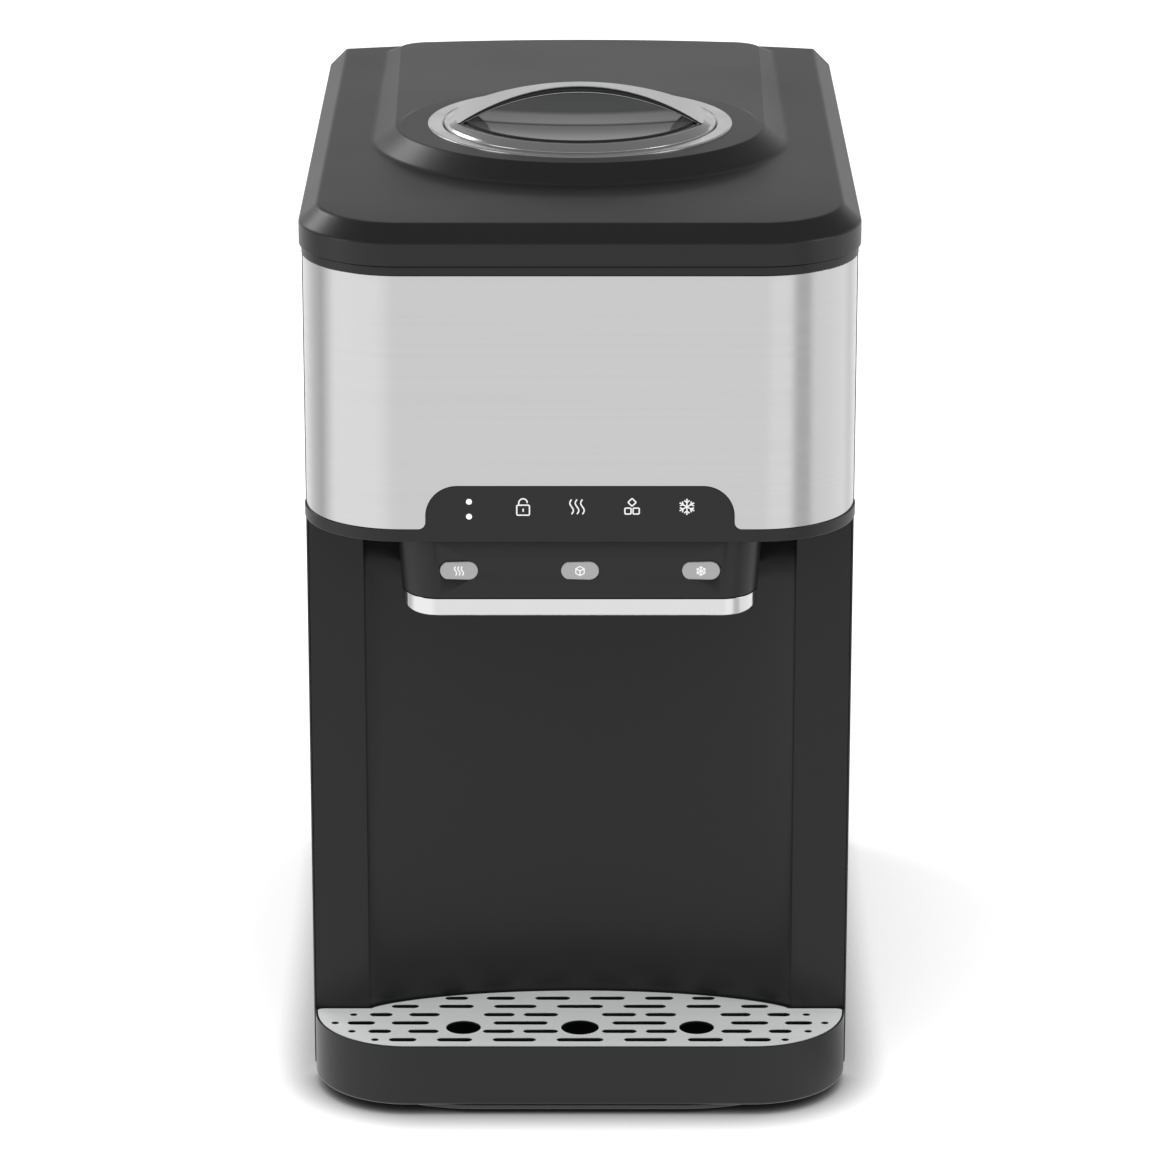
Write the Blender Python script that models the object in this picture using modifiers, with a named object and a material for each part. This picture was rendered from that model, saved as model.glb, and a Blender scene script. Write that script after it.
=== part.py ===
"""Countertop ice maker with a water dispenser: its construction, in metres, +Z up, front towards -Y.

The origin is the middle of the underside, on the surface that the feet stand on.
"""

import math

import bmesh
import bpy
from mathutils import Matrix, Vector

COLLECTION = "ice_maker_with_water_dispenser"

# Whole body
BODY_WIDTH = 0.300
BODY_DEPTH = 0.458
TOP_HEIGHT = 0.5098
FRONT_CORNER_R = 0.054
REAR_BOW = 0.020
GAP = 0.0003
OVERRUN = 0.002
WELD = 0.000002

# Niche that a cup stands in, between two columns
COLUMN_CORNER_GAP = 0.004
COLUMN_WIDTH = 0.031
NICHE_BOW = 0.0265
LINER_T = 0.0025

# Base plate and feet
FOOT_HEIGHT = 0.003
FOOT_R = 0.012
FOOT_SIDE_INSET = 0.035
FOOT_END_INSET = 0.045
BASE_T = 0.0026
BASE_SETBACK = 0.006
BASE_SIDE_INSET = 0.002

# Sheet panels
PANEL_T = 0.001
PANEL_CORNER_R = 0.006
REAR_T = 0.0012
STEEL_T = 0.0008
STEEL_INSET = 0.0007
STEEL_HEIGHT = 0.140
RIM_BAND = 0.005
RIM_WIDTH = 0.006
HOUSING_T = 0.0022

# Vents in the rear panel
VENT_COLUMNS = 3
VENT_ROWS = 8
VENT_LENGTH = 0.052
VENT_HEIGHT = 0.005
VENT_COLUMN_PITCH = 0.064
VENT_ROW_PITCH = 0.013
VENT_BOTTOM = 0.085

# Top cover with its raised seat for a bottle
LID_HEIGHT = 0.0221
LID_OVERHANG = 0.0013
LID_BEVEL_WIDTH = 0.010
LID_BEVEL_HEIGHT = 0.0095
LID_WALL = 0.0025
PLATEAU_RIM_WIDTH = 0.0162
PLATEAU_SLOPE_WIDTH = 0.0135
PLATEAU_FRONT_HEIGHT = 0.0088
PLATEAU_REAR_HEIGHT = 0.0042
PLATEAU_REAR_SLOPE = 0.009
PLATEAU_REAR_EDGE = 0.003
PLATEAU_CORNER_R = 0.018

# Bottle seat and its dust cover
FLANGE_WIDTH = 0.009
FLANGE_T = 0.0016
SEAT_BORE_R = 0.0765
SEAT_WALL = 0.002
SEAT_SHELF_WIDTH = 0.004
SEAT_SHELF_DROP = 0.004
SEAT_FLOOR_R = 0.030
SEAT_DEPTH = 0.046
PROBE_R = 0.009
PROBE_HEIGHT = 0.028
PROBE_BORE_R = 0.0035
NOZZLE_R = 0.006
NOZZLE_LENGTH = 0.010
COVER_T = 0.002
COVER_RISE = 0.004
COVER_LIP_WIDTH = 0.0105
DISH_DEPTH = 0.010
DISH_SLOPE_WIDTH = 0.022
GRIP_RISE = 0.023
GRIP_END_RISE = 0.0015
GRIP_T = 0.0022
GRIP_WIDTH = 0.010
GRIP_END_WIDTH = 0.024

# Front trim with the raised control panel
TRIM_BAND = 0.007
TRIM_T = 0.003
TRIM_PROUD = 0.0003
CEILING_T = 0.0025
PANEL_CORNER_GAP = 0.013
PANEL_HEIGHT = 0.0243
PANEL_ROUND_R = 0.017
PANEL_FLARE_R = 0.004
LIGHT_R = 0.0018
LIGHT_EDGE = 0.0235
LIGHT_TOP_DROP = 0.0088
LIGHT_PITCH = 0.0083

# Dispenser head
HEAD_TAPER = 0.0032
HEAD_SETBACK = 0.004
HEAD_CORNER_R = 0.013
HEAD_HEIGHT = 0.0438
HEAD_WALL = 0.0025
HEAD_REAR_GAP = 0.0005
BAND_HEIGHT = 0.0107
BAND_T = 0.0012
BAND_LIP_HEIGHT = 0.0036
BAND_LIP_INSET = 0.0022

# Buttons, all three alike
BUTTON_EDGE = 0.0325
BUTTON_LENGTH = 0.0211
BUTTON_HEIGHT = 0.0107
BUTTON_PROUD = 0.0008
BUTTON_DROP = 0.0170
BUTTON_FLANGE = 0.0015
BUTTON_FLANGE_T = 0.001
BUTTON_STEM_R = 0.002
BUTTON_TRAVEL = 0.002
BOARD_T = 0.0016
SWITCH_R = 0.0025
SWITCH_T = 0.0012
BOARD_SETBACK = 0.0080
BOARD_HEIGHT = 0.013
BOARD_MARGIN = 0.009
PEG_R = 0.0025

# Outlets in the head
OUTLET_SETBACK = 0.0293
SPOUT_R = 0.006
SPOUT_BORE_R = 0.0042
SPOUT_TIP_R = 0.0054
SPOUT_DROP = 0.003
SPOUT_COLLAR_R = 0.009
SPOUT_COLLAR_T = 0.002
CHUTE_WIDTH = 0.040
CHUTE_DEPTH = 0.032
CHUTE_WALL = 0.0015
CHUTE_BOARD_GAP = 0.001
FLAP_T = 0.0015
FLAP_RISE = 0.005
FLAP_PIN_R = 0.0015

# Drip tray and its grille
TRAY_HEIGHT = 0.0354
TRAY_SIDE_INSET = 0.001
TRAY_WALL = 0.0022
TRAY_RIM = 0.0010
GRILLE_T = 0.0015
ROW_FRONT_SETBACK = 0.0118
ROW_PITCH = 0.012
SLOT_HEIGHT = 0.0036
DOT_R = 0.0016
DOT_EDGE_GAP = 0.0050
CENTRE_HOLE_R = 0.0106
SIDE_HOLE_R = 0.0098

# Deck that the cold parts stand on, and its rear frame
DECK_T = 0.003
DECK_SIDE_GAP = 0.004
DECK_FRONT_INSET = 0.006
DECK_REAR_INSET = 0.028
FRAME_POST = 0.016
FRAME_BAR_HEIGHT = 0.020
FRAME_SIDE_GAP = 0.003
FRAME_REAR_INSET = 0.062

# Ice bucket, auger and the ice mechanism
BUCKET_SPOUT_GAP = 0.0092
BUCKET_FRONT_INSET = 0.0145
BUCKET_WALL = 0.002
BUCKET_HEIGHT = 0.092
BUCKET_REAR_HEIGHT = 0.040
AUGER_R = 0.014
AUGER_SHAFT_R = 0.004
AUGER_LIFT = 0.003
AUGER_BLADE_T = 0.002
AUGER_PITCH = 0.030
AUGER_STEPS = 8
GEARBOX_R = 0.019
GEARBOX_LENGTH = 0.026
MOTOR_R = 0.015
MOTOR_LENGTH = 0.024
ICE_FRAME_LENGTH = 0.100
ICE_FRAME_REAR_INSET = 0.099
CHEEK_T = 0.003
CHEEK_HEIGHT = 0.126
SLIDE_T = 0.002
SLIDE_FALL = 0.020
SLIDE_REACH = 0.012
TROUGH_R = 0.034
TROUGH_T = 0.0015
TROUGH_HALF_ANGLE = 80.0
TROUGH_MOUTH_ANGLE = 95.0
TROUGH_LIFT = 0.106
JOURNAL_R = 0.004
PLATE_HALF_DEPTH = 0.022
PLATE_T = 0.006
PLATE_LIFT = 0.006
FINGER_R = 0.005
FINGER_LENGTH = 0.028
FINGER_ROWS = 2
FINGER_COLUMNS = 4
FINGER_ROW_PITCH = 0.022
NECK_DEPTH = 0.010
BEAM_HEIGHT = 0.006

# Cooling parts at the rear
COMPRESSOR_R = 0.050
COMPRESSOR_HEIGHT = 0.105
COMPRESSOR_DOME = 0.022
COMPRESSOR_FOOT_LIFT = 0.006
COMPRESSOR_SIDE_GAP = 0.020
COMPRESSOR_REAR_INSET = 0.148
MOUNT_PLATE_T = 0.0025
GROMMET_R = 0.008
CONDENSER_SIDE_GAP = 0.004
CONDENSER_DEPTH = 0.024
CONDENSER_HEIGHT = 0.150
CONDENSER_REAR_INSET = 0.016
CONDENSER_FINS = 12
FIN_T = 0.0015
HEADER_WIDTH = 0.006
SHROUD_T = 0.003
FAN_RIM = 0.013
FAN_TIP_GAP = 0.003
FAN_HUB_R = 0.017
FAN_DEPTH = 0.016
FAN_BLADES = 5
FAN_BLADE_T = 0.0015
FAN_MOTOR_R = 0.018
FAN_MOTOR_LENGTH = 0.022
FAN_SHAFT_R = 0.003
FAN_ARM_WIDTH = 0.008

# Tanks, valves, pump and hoses
TANK_GAP = 0.006
HOT_TANK_R = 0.042
HOT_TANK_HEIGHT = 0.115
COLD_TANK_R = 0.050
COLD_TANK_HEIGHT = 0.125
TANK_WALL = 0.002
PORT_R = 0.006
PORT_BORE_R = 0.004
PORT_RISE = 0.014
VALVE_WIDTH = 0.026
VALVE_DEPTH = 0.030
VALVE_HEIGHT = 0.026
HOSE_R = 0.004
HOSE_STEPS = 8
FILL_HOSE_LIFT = 0.010
PUMP_R = 0.016
PUMP_HEIGHT = 0.040
PUMP_SIDE_GAP = 0.014
LINE_R = 0.003

# Boards and the rear connections
TOUCH_BOARD_T = 0.0016
TOUCH_BOARD_MARGIN = 0.004
TOUCH_BOARD_HEIGHT = 0.0158
POWER_BOARD_HEIGHT = 0.075
POWER_BOARD_HALF_WIDTH = 0.060
POWER_BOARD_REAR_INSET = 0.079
BLOCK_T = 0.014
INLET_SIDE_INSET = 0.040
INLET_LIFT = 0.045
INLET_WIDTH = 0.048
INLET_HEIGHT = 0.026
INLET_DEPTH = 0.022
INLET_WALL = 0.002
INLET_MOUTH_WIDTH = 0.025
INLET_MOUTH_HEIGHT = 0.017
INLET_MOUTH_DEPTH = 0.015
INLET_SINK = 0.006
DRAIN_SIDE_INSET = 0.036
DRAIN_LIFT = 0.045
DRAIN_R = 0.0065
DRAIN_BORE_R = 0.0042
DRAIN_LENGTH = 0.024
CAP_R = 0.0105
CAP_LENGTH = 0.0070
CAP_WALL = 0.0020

# Facets in a quarter of an outline's corner, in a bow and in a whole turn
CORNER_STEPS = 8
BOW_STEPS = 10
RING_STEPS = 36
ROUND_STEPS = 16
SMALL_STEPS = 12
SLOT_STEPS = 2

# Angles in degrees: an edge sharper than this stays sharp, and the pitch of the fan's blades
SHARP_ANGLE = 35
BLADE_PITCH = 50

# Slots of the grille, each row from its middle to one end, as shares of the tray's half width
CENTRE_SLOT_SHARE = 0.088
WIDE_ROW_SHARES = ((0.164, 0.326), (0.402, 0.535), (0.610, 0.714))
WIDE_ROW_DOT_SHARE = 0.766
SPLIT_ROW_SHARES = ((0.082, 0.213), (0.246, 0.364), (0.529, 0.645), (0.707, 0.794))
SPLIT_ROW_DOT_SHARE = 0.855
HOLE_ROW_SHARES = ((0.121, 0.326), (0.567, 0.709), (0.770, 0.875))
HOLE_ROW_DOT_SHARE = 0.921
REAR_ROW_SHARES = ((0.037, 0.171), (0.246, 0.356), (0.425, 0.513))

# How full the niche's curve is, from a wedge at one to a box at nought
NICHE_CURVE_SHARE = 0.72

# The seat's middle behind the front as a share of the depth, and the outlets' as a share of the tray
SEAT_PLACE_SHARE = 0.4323
OUTLET_SHARE = 0.4376

# Half widths
HALF = BODY_WIDTH / 2
SIDE_X = HALF - PANEL_T
NICHE_X = HALF - COLUMN_WIDTH
TRAY_X = HALF - TRAY_SIDE_INSET
OUTLET_X = TRAY_X * OUTLET_SHARE
HEAD_X = OUTLET_X + BUTTON_EDGE
BUCKET_X = OUTLET_X - BUCKET_SPOUT_GAP
INLET_X = HALF - INLET_SIDE_INSET
DRAIN_X = DRAIN_SIDE_INSET - HALF
CONDENSER_X = INLET_X - INLET_WIDTH / 2 - INLET_WALL - CONDENSER_SIDE_GAP
FAN_R = min(CONDENSER_X, CONDENSER_HEIGHT / 2) - FAN_RIM
PANEL_X = HALF - FRONT_CORNER_R - PANEL_CORNER_GAP

# Radii of what fits round the bottle seat's bore
FLANGE_R = SEAT_BORE_R + FLANGE_WIDTH
PLATEAU_TOP_R = FLANGE_R + PLATEAU_RIM_WIDTH
COVER_MOUTH_R = SEAT_BORE_R - COVER_LIP_WIDTH
DISH_FLOOR_R = COVER_MOUTH_R - DISH_SLOPE_WIDTH

# Levels
BASE_TOP = FOOT_HEIGHT + BASE_T
STAND_Z = BASE_TOP + GAP
TRAY_TOP = STAND_Z + TRAY_HEIGHT
LID_SEAM = TOP_HEIGHT - LID_HEIGHT
RIM_TOP = LID_SEAM - GAP
RIM_BOTTOM = RIM_TOP - RIM_BAND
STEEL_TOP = RIM_BOTTOM - GAP
STEEL_BOTTOM = STEEL_TOP - STEEL_HEIGHT
TRIM_TOP = STEEL_BOTTOM - GAP
TRIM_BOTTOM = TRIM_TOP - TRIM_BAND
CEILING_TOP = TRIM_BOTTOM + CEILING_T
DECK_BOTTOM = CEILING_TOP + GAP
DECK_TOP = DECK_BOTTOM + DECK_T
DECK_STAND_Z = DECK_TOP + GAP
HEAD_TOP = TRIM_BOTTOM - GAP
HEAD_BOTTOM = HEAD_TOP - HEAD_HEIGHT
BAND_TOP = HEAD_BOTTOM + BAND_HEIGHT
PLATEAU_TOP = TOP_HEIGHT + PLATEAU_FRONT_HEIGHT
FLANGE_TOP = PLATEAU_TOP + GAP + FLANGE_T
BUTTON_Z = HEAD_TOP - BUTTON_DROP
AUGER_Z = DECK_STAND_Z + BUCKET_WALL + AUGER_LIFT + AUGER_R
TROUGH_Z = DECK_STAND_Z + TROUGH_LIFT

# Places from front to rear
FRONT = -BODY_DEPTH / 2
FACE = FRONT + LID_OVERHANG
COLUMN_Y = FRONT + FRONT_CORNER_R + COLUMN_CORNER_GAP
NICHE_BACK = COLUMN_Y + NICHE_BOW
LINER_BACK = NICHE_BACK + LINER_T
REAR = BODY_DEPTH / 2
REAR_EDGE = REAR - REAR_BOW
RING_Y = FRONT + BODY_DEPTH * SEAT_PLACE_SHARE
HEAD_FRONT = FACE + HEAD_SETBACK
OUTLET_Y = FRONT + OUTLET_SETBACK
CHUTE_Y = HEAD_FRONT + BOARD_SETBACK + BOARD_T + CHUTE_BOARD_GAP + CHUTE_DEPTH / 2
ICE_FRAME_REAR = REAR - ICE_FRAME_REAR_INSET
ICE_FRAME_FRONT = ICE_FRAME_REAR - ICE_FRAME_LENGTH
BUCKET_FRONT = FRONT + BUCKET_FRONT_INSET
BUCKET_REAR = ICE_FRAME_FRONT - GAP
TROUGH_Y = (ICE_FRAME_FRONT + ICE_FRAME_REAR) / 2
CONDENSER_REAR = REAR - CONDENSER_REAR_INSET
CONDENSER_FRONT = CONDENSER_REAR - CONDENSER_DEPTH
SHROUD_REAR = CONDENSER_FRONT - GAP
SHROUD_FRONT = SHROUD_REAR - SHROUD_T
FAN_Z = STAND_Z + CONDENSER_HEIGHT / 2

# Colours, roughness and metallic value of each finish
FINISHES = {
    "black_plastic": ((0.033, 0.033, 0.034), 0.42, 0.0),
    "dark_sheet": ((0.030, 0.030, 0.031), 0.50, 0.0),
    "brushed_steel": ((0.60, 0.61, 0.61), 0.30, 1.0),
    "chrome": ((0.80, 0.80, 0.80), 0.12, 1.0),
    "silver_plastic": ((0.62, 0.63, 0.63), 0.25, 0.6),
    "smoke_plastic": ((0.20, 0.21, 0.21), 0.15, 0.0),
    "grey_plastic": ((0.40, 0.40, 0.40), 0.40, 0.0),
    "grille_steel": ((0.42, 0.46, 0.46), 0.35, 0.8),
    "white_plastic": ((0.80, 0.80, 0.78), 0.40, 0.0),
    "rubber": ((0.020, 0.020, 0.020), 0.85, 0.0),
    "board_green": ((0.030, 0.130, 0.060), 0.50, 0.0),
    "tank_steel": ((0.62, 0.62, 0.60), 0.35, 1.0),
    "painted_metal": ((0.040, 0.040, 0.042), 0.45, 0.3),
    "aluminium": ((0.75, 0.76, 0.77), 0.35, 1.0),
    "copper": ((0.72, 0.36, 0.20), 0.30, 1.0),
    "clear_tube": ((0.70, 0.74, 0.76), 0.30, 0.0),
}


def clear_scene():
    """Remove whatever the file opened with."""
    for thing in list(bpy.data.objects):
        bpy.data.objects.remove(thing, do_unlink=True)


def collection(name):
    """The collection of this name, made and linked the first time."""
    found = bpy.data.collections.get(name)
    if found is None:
        found = bpy.data.collections.new(name)
        bpy.context.scene.collection.children.link(found)
    return found


def finish(name):
    """The material of this name from the table of finishes."""
    found = bpy.data.materials.get(name)
    if found is None:
        colour, roughness, metallic = FINISHES[name]
        found = bpy.data.materials.new(name)
        found.use_nodes = True
        shader = found.node_tree.nodes["Principled BSDF"]
        shader.inputs["Base Color"].default_value = (*colour, 1.0)
        shader.inputs["Roughness"].default_value = roughness
        shader.inputs["Metallic"].default_value = metallic
    return found


def place(mesh, name, finish_name=None):
    """An object of this mesh among the parts, or among the cutters where it has no finish."""
    thing = bpy.data.objects.new(name, mesh)
    if finish_name is None:
        collection("cutters").objects.link(thing)
        thing.hide_render = True
        thing.display_type = "WIRE"
    else:
        collection(COLLECTION).objects.link(thing)
        mesh.materials.clear()
        mesh.materials.append(finish(finish_name))
    return thing


def mesh_of(shape, name):
    """The mesh of a finished bmesh."""
    mesh = bpy.data.meshes.new(name)
    shape.to_mesh(mesh)
    shape.free()
    return mesh


def combine(thing, tool, operation):
    """Join the tool to the thing, or cut it away, with an exact Boolean."""
    modifier = thing.modifiers.new(tool.name, "BOOLEAN")
    modifier.operation = operation
    modifier.solver = "EXACT"
    modifier.object = tool


def cut(thing, *tools):
    """Cut each tool out of the thing."""
    for tool in tools:
        combine(thing, tool, "DIFFERENCE")


def join(thing, *tools):
    """Make the thing and the tools one solid."""
    for tool in tools:
        combine(thing, tool, "UNION")


def hinge_at(thing, point):
    """Put the object's origin at this point, with its shape left where it is."""
    thing.data.transform(Matrix.Translation(-Vector(point)))
    thing.location = point


def arc(centre, radius, start, end, steps):
    """Points from the start angle to the end angle, in degrees, both ends among them."""
    points = []
    for step in range(steps + 1):
        angle = math.radians(start + (end - start) * step / steps)
        points.append((centre[0] + radius * math.cos(angle), centre[1] + radius * math.sin(angle)))
    return points


def bow(x, half_chord, rise):
    """How far a circular arc with this half chord and this rise stands off its chord at x."""
    radius = (half_chord ** 2 + rise ** 2) / (2 * rise)
    return math.sqrt(radius ** 2 - x ** 2) - (radius - rise)


def rear_y(x):
    """The bowed rear of the body at x."""
    return REAR_EDGE + bow(x, HALF, REAR_BOW)


def niche_y(x):
    """The wall of the niche at x."""
    return COLUMN_Y + niche_bow(x, NICHE_X)


def niche_bow(x, half_chord):
    """How far the niche's curve stands behind the columns at x."""
    return NICHE_BOW * max(0.0, 1 - (x / half_chord) ** 2) ** NICHE_CURVE_SHARE


def spread(low, high, steps):
    """Evenly spaced values from low to high, both ends among them."""
    return [low + (high - low) * step / steps for step in range(steps + 1)]


def front_corners(half_width, front, radius):
    """Outline points round the two front corners, from the right side to the left."""
    right = arc((half_width - radius, front + radius), radius, 0, -90, CORNER_STEPS)
    left = arc((radius - half_width, front + radius), radius, -90, -180, CORNER_STEPS)
    return right + left


def body_outline(half_width, front, radius, rear_inset=0.0):
    """The body's outline in plan: two round front corners, straight sides and a bowed rear."""
    points = front_corners(half_width, front, radius)
    for x in spread(-half_width, half_width, BOW_STEPS):
        points.append((x, rear_y(x) - rear_inset))
    return points


def wrap_outline(half_width, front, radius, thickness, rear):
    """A sheet in plan that wraps the front and both its corners and ends at the rear line."""
    outer = front_corners(half_width, front, radius)
    inner = front_corners(half_width - thickness, front + thickness, radius - thickness)
    ends = [(-half_width, rear), (thickness - half_width, rear)]
    other_ends = [(half_width - thickness, rear), (half_width, rear)]
    return outer + ends + inner[::-1] + other_ends


def circle(centre, radius, steps):
    """An outline of a whole circle."""
    return arc(centre, radius, 0, 360, steps)[:-1]


def rectangle(low, high):
    """An outline of a rectangle between two opposite corners."""
    return [(low[0], low[1]), (high[0], low[1]), (high[0], high[1]), (low[0], high[1])]


def stadium(centre, length, height, steps):
    """An outline with two straight sides and two round ends."""
    reach = (length - height) / 2
    right = arc((centre[0] + reach, centre[1]), height / 2, -90, 90, steps)
    left = arc((centre[0] - reach, centre[1]), height / 2, 90, 270, steps)
    return right + left


AXIS_TURNS = {
    "Z": Matrix.Identity(4),
    "Y": Matrix(((1, 0, 0, 0), (0, 0, 1, 0), (0, 1, 0, 0), (0, 0, 0, 1))),
    "X": Matrix(((0, 0, 1, 0), (1, 0, 0, 0), (0, 1, 0, 0), (0, 0, 0, 1))),
}


def slab(name, outlines, low, high, finish_name=None, axis="Z"):
    """A flat shape between two levels of an axis. Its outlines may hold holes.

    The outline's two coordinates are x and y for a slab along Z, x and z along Y, y and z along X.
    """
    curve = bpy.data.curves.new(name, "CURVE")
    curve.dimensions = "2D"
    curve.fill_mode = "BOTH"
    curve.extrude = (high - low) / 2
    for outline in outlines:
        spline = curve.splines.new("POLY")
        spline.points.add(len(outline) - 1)
        spline.use_cyclic_u = True
        for point, (across, along) in zip(spline.points, outline):
            point.co = (across, along, 0, 1)
    guide = bpy.data.objects.new(name, curve)
    bpy.context.scene.collection.objects.link(guide)
    graph = bpy.context.evaluated_depsgraph_get()
    mesh = bpy.data.meshes.new_from_object(guide.evaluated_get(graph))
    bpy.data.objects.remove(guide, do_unlink=True)
    bpy.data.curves.remove(curve)
    mesh.transform(AXIS_TURNS[axis] @ Matrix.Translation((0, 0, (low + high) / 2)))
    shape = bmesh.new()
    shape.from_mesh(mesh)
    bmesh.ops.remove_doubles(shape, verts=shape.verts, dist=WELD)
    bmesh.ops.recalc_face_normals(shape, faces=shape.faces)
    shape.to_mesh(mesh)
    shape.free()
    mesh.shade_flat()
    return place(mesh, name, finish_name)


def box(name, low, high, finish_name=None):
    """A block between two opposite corners."""
    low, high = Vector(low), Vector(high)
    shape = bmesh.new()
    size = Matrix.Diagonal((*(high - low), 1))
    bmesh.ops.create_cube(shape, size=1, matrix=Matrix.Translation((low + high) / 2) @ size)
    return place(mesh_of(shape, name), name, finish_name)


def rod(name, start, end, radius, finish_name=None, steps=SMALL_STEPS, end_radius=None):
    """A round bar, or a cone where the end's radius differs."""
    start, end = Vector(start), Vector(end)
    turn = (end - start).to_track_quat("Z", "Y").to_matrix().to_4x4()
    shape = bmesh.new()
    bmesh.ops.create_cone(
        shape,
        cap_ends=True,
        segments=steps,
        radius1=radius,
        radius2=radius if end_radius is None else end_radius,
        depth=(end - start).length,
        matrix=Matrix.Translation((start + end) / 2) @ turn,
    )
    mesh = mesh_of(shape, name)
    mesh.shade_smooth()
    mesh.set_sharp_from_angle(angle=math.radians(SHARP_ANGLE))
    return place(mesh, name, finish_name)


def turned(name, profile, centre, finish_name=None, steps=ROUND_STEPS, closed=False, axis="Z"):
    """A shape turned about an axis through the centre, from a profile of (radius, height) points.

    The profile runs down the outer side, and a closed one comes back up the inner side.
    """
    shape = bmesh.new()
    corners = [shape.verts.new((radius, 0, height)) for radius, height in profile]
    for first, second in zip(corners, corners[1:]):
        shape.edges.new((first, second))
    if closed:
        shape.edges.new((corners[-1], corners[0]))
    thing = place(mesh_of(shape, name), name, finish_name)
    screw = thing.modifiers.new("turn", "SCREW")
    screw.steps = steps
    screw.render_steps = steps
    screw.use_merge_vertices = True
    screw.merge_threshold = WELD
    thing.location = centre
    if axis == "Y":
        thing.rotation_euler.x = -math.pi / 2
    if axis == "X":
        thing.rotation_euler.y = math.pi / 2
    return thing


def loft(name, sections, finish_name=None):
    """A closed skin over rings of points that have the same number of points each."""
    shape = bmesh.new()
    rings = [[shape.verts.new(point) for point in section] for section in sections]
    count = len(rings[0])
    for lower, upper in zip(rings, rings[1:]):
        for index in range(count):
            after = (index + 1) % count
            shape.faces.new((lower[index], lower[after], upper[after], upper[index]))
    shape.faces.new(rings[0][::-1])
    shape.faces.new(rings[-1])
    bmesh.ops.recalc_face_normals(shape, faces=shape.faces)
    return place(mesh_of(shape, name), name, finish_name)


def at_level(outline, level):
    """Points of a plan outline at one height."""
    return [(x, y, level) for x, y in outline]


def smooth_points(route):
    """Points on a smooth curve through the route, whose first and last legs stay straight."""
    legs = len(route) - 3
    points = [route[0]]
    for step in range(HOSE_STEPS * legs + 1):
        index = min(step // HOSE_STEPS, legs - 1)
        part = step / HOSE_STEPS - index
        before, first, second, after = route[index:index + 4]
        linear = (second - before) * part
        square = (2 * before - 5 * first + 4 * second - after) * part ** 2
        cube = (3 * first - before - 3 * second + after) * part ** 3
        points.append(first + (linear + square + cube) / 2)
    points.append(route[-1])
    return points


def hose(name, route, radius, finish_name):
    """A tube on a smooth curve through the route."""
    route = [Vector(point) for point in route]
    curve = bpy.data.curves.new(name, "CURVE")
    curve.dimensions = "3D"
    curve.bevel_depth = radius
    curve.bevel_resolution = 1
    curve.use_fill_caps = True
    points = smooth_points(route)
    spline = curve.splines.new("POLY")
    spline.points.add(len(points) - 1)
    for knot, point in zip(spline.points, points):
        knot.co = (*point, 1)
    thing = bpy.data.objects.new(name, curve)
    collection(COLLECTION).objects.link(thing)
    curve.materials.append(finish(finish_name))
    return thing


def make_base():
    """The flat base plate, set back a little under the tray."""
    outline = body_outline(HALF - BASE_SIDE_INSET, FACE + BASE_SETBACK, FRONT_CORNER_R, BASE_SETBACK)
    slab("base_plate", [outline], FOOT_HEIGHT, BASE_TOP, "painted_metal")


def make_feet():
    """Four rubber feet under the base plate."""
    side = HALF - FOOT_SIDE_INSET
    ends = (FRONT + FOOT_END_INSET, REAR - FOOT_END_INSET)
    places = [(x, y) for y in ends for x in (-side, side)]
    for number, (x, y) in enumerate(places, start=1):
        rod(f"foot_{number}", (x, y, 0), (x, y, FOOT_HEIGHT - GAP), FOOT_R, "rubber")


def make_side_panels():
    """A flat sheet on each side, from the columns to the rear panel."""
    rear = rear_y(HALF) - REAR_T - GAP
    centre = (COLUMN_Y + PANEL_CORNER_R, STAND_Z + PANEL_CORNER_R)
    corner = arc(centre, PANEL_CORNER_R, 180, 270, CORNER_STEPS)
    outline = [(rear, STAND_Z), (rear, STEEL_TOP), (COLUMN_Y, STEEL_TOP)] + corner
    slab("left_side_panel", [outline], -HALF, -SIDE_X, "dark_sheet", axis="X")
    slab("right_side_panel", [outline], SIDE_X, HALF, "dark_sheet", axis="X")


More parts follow.
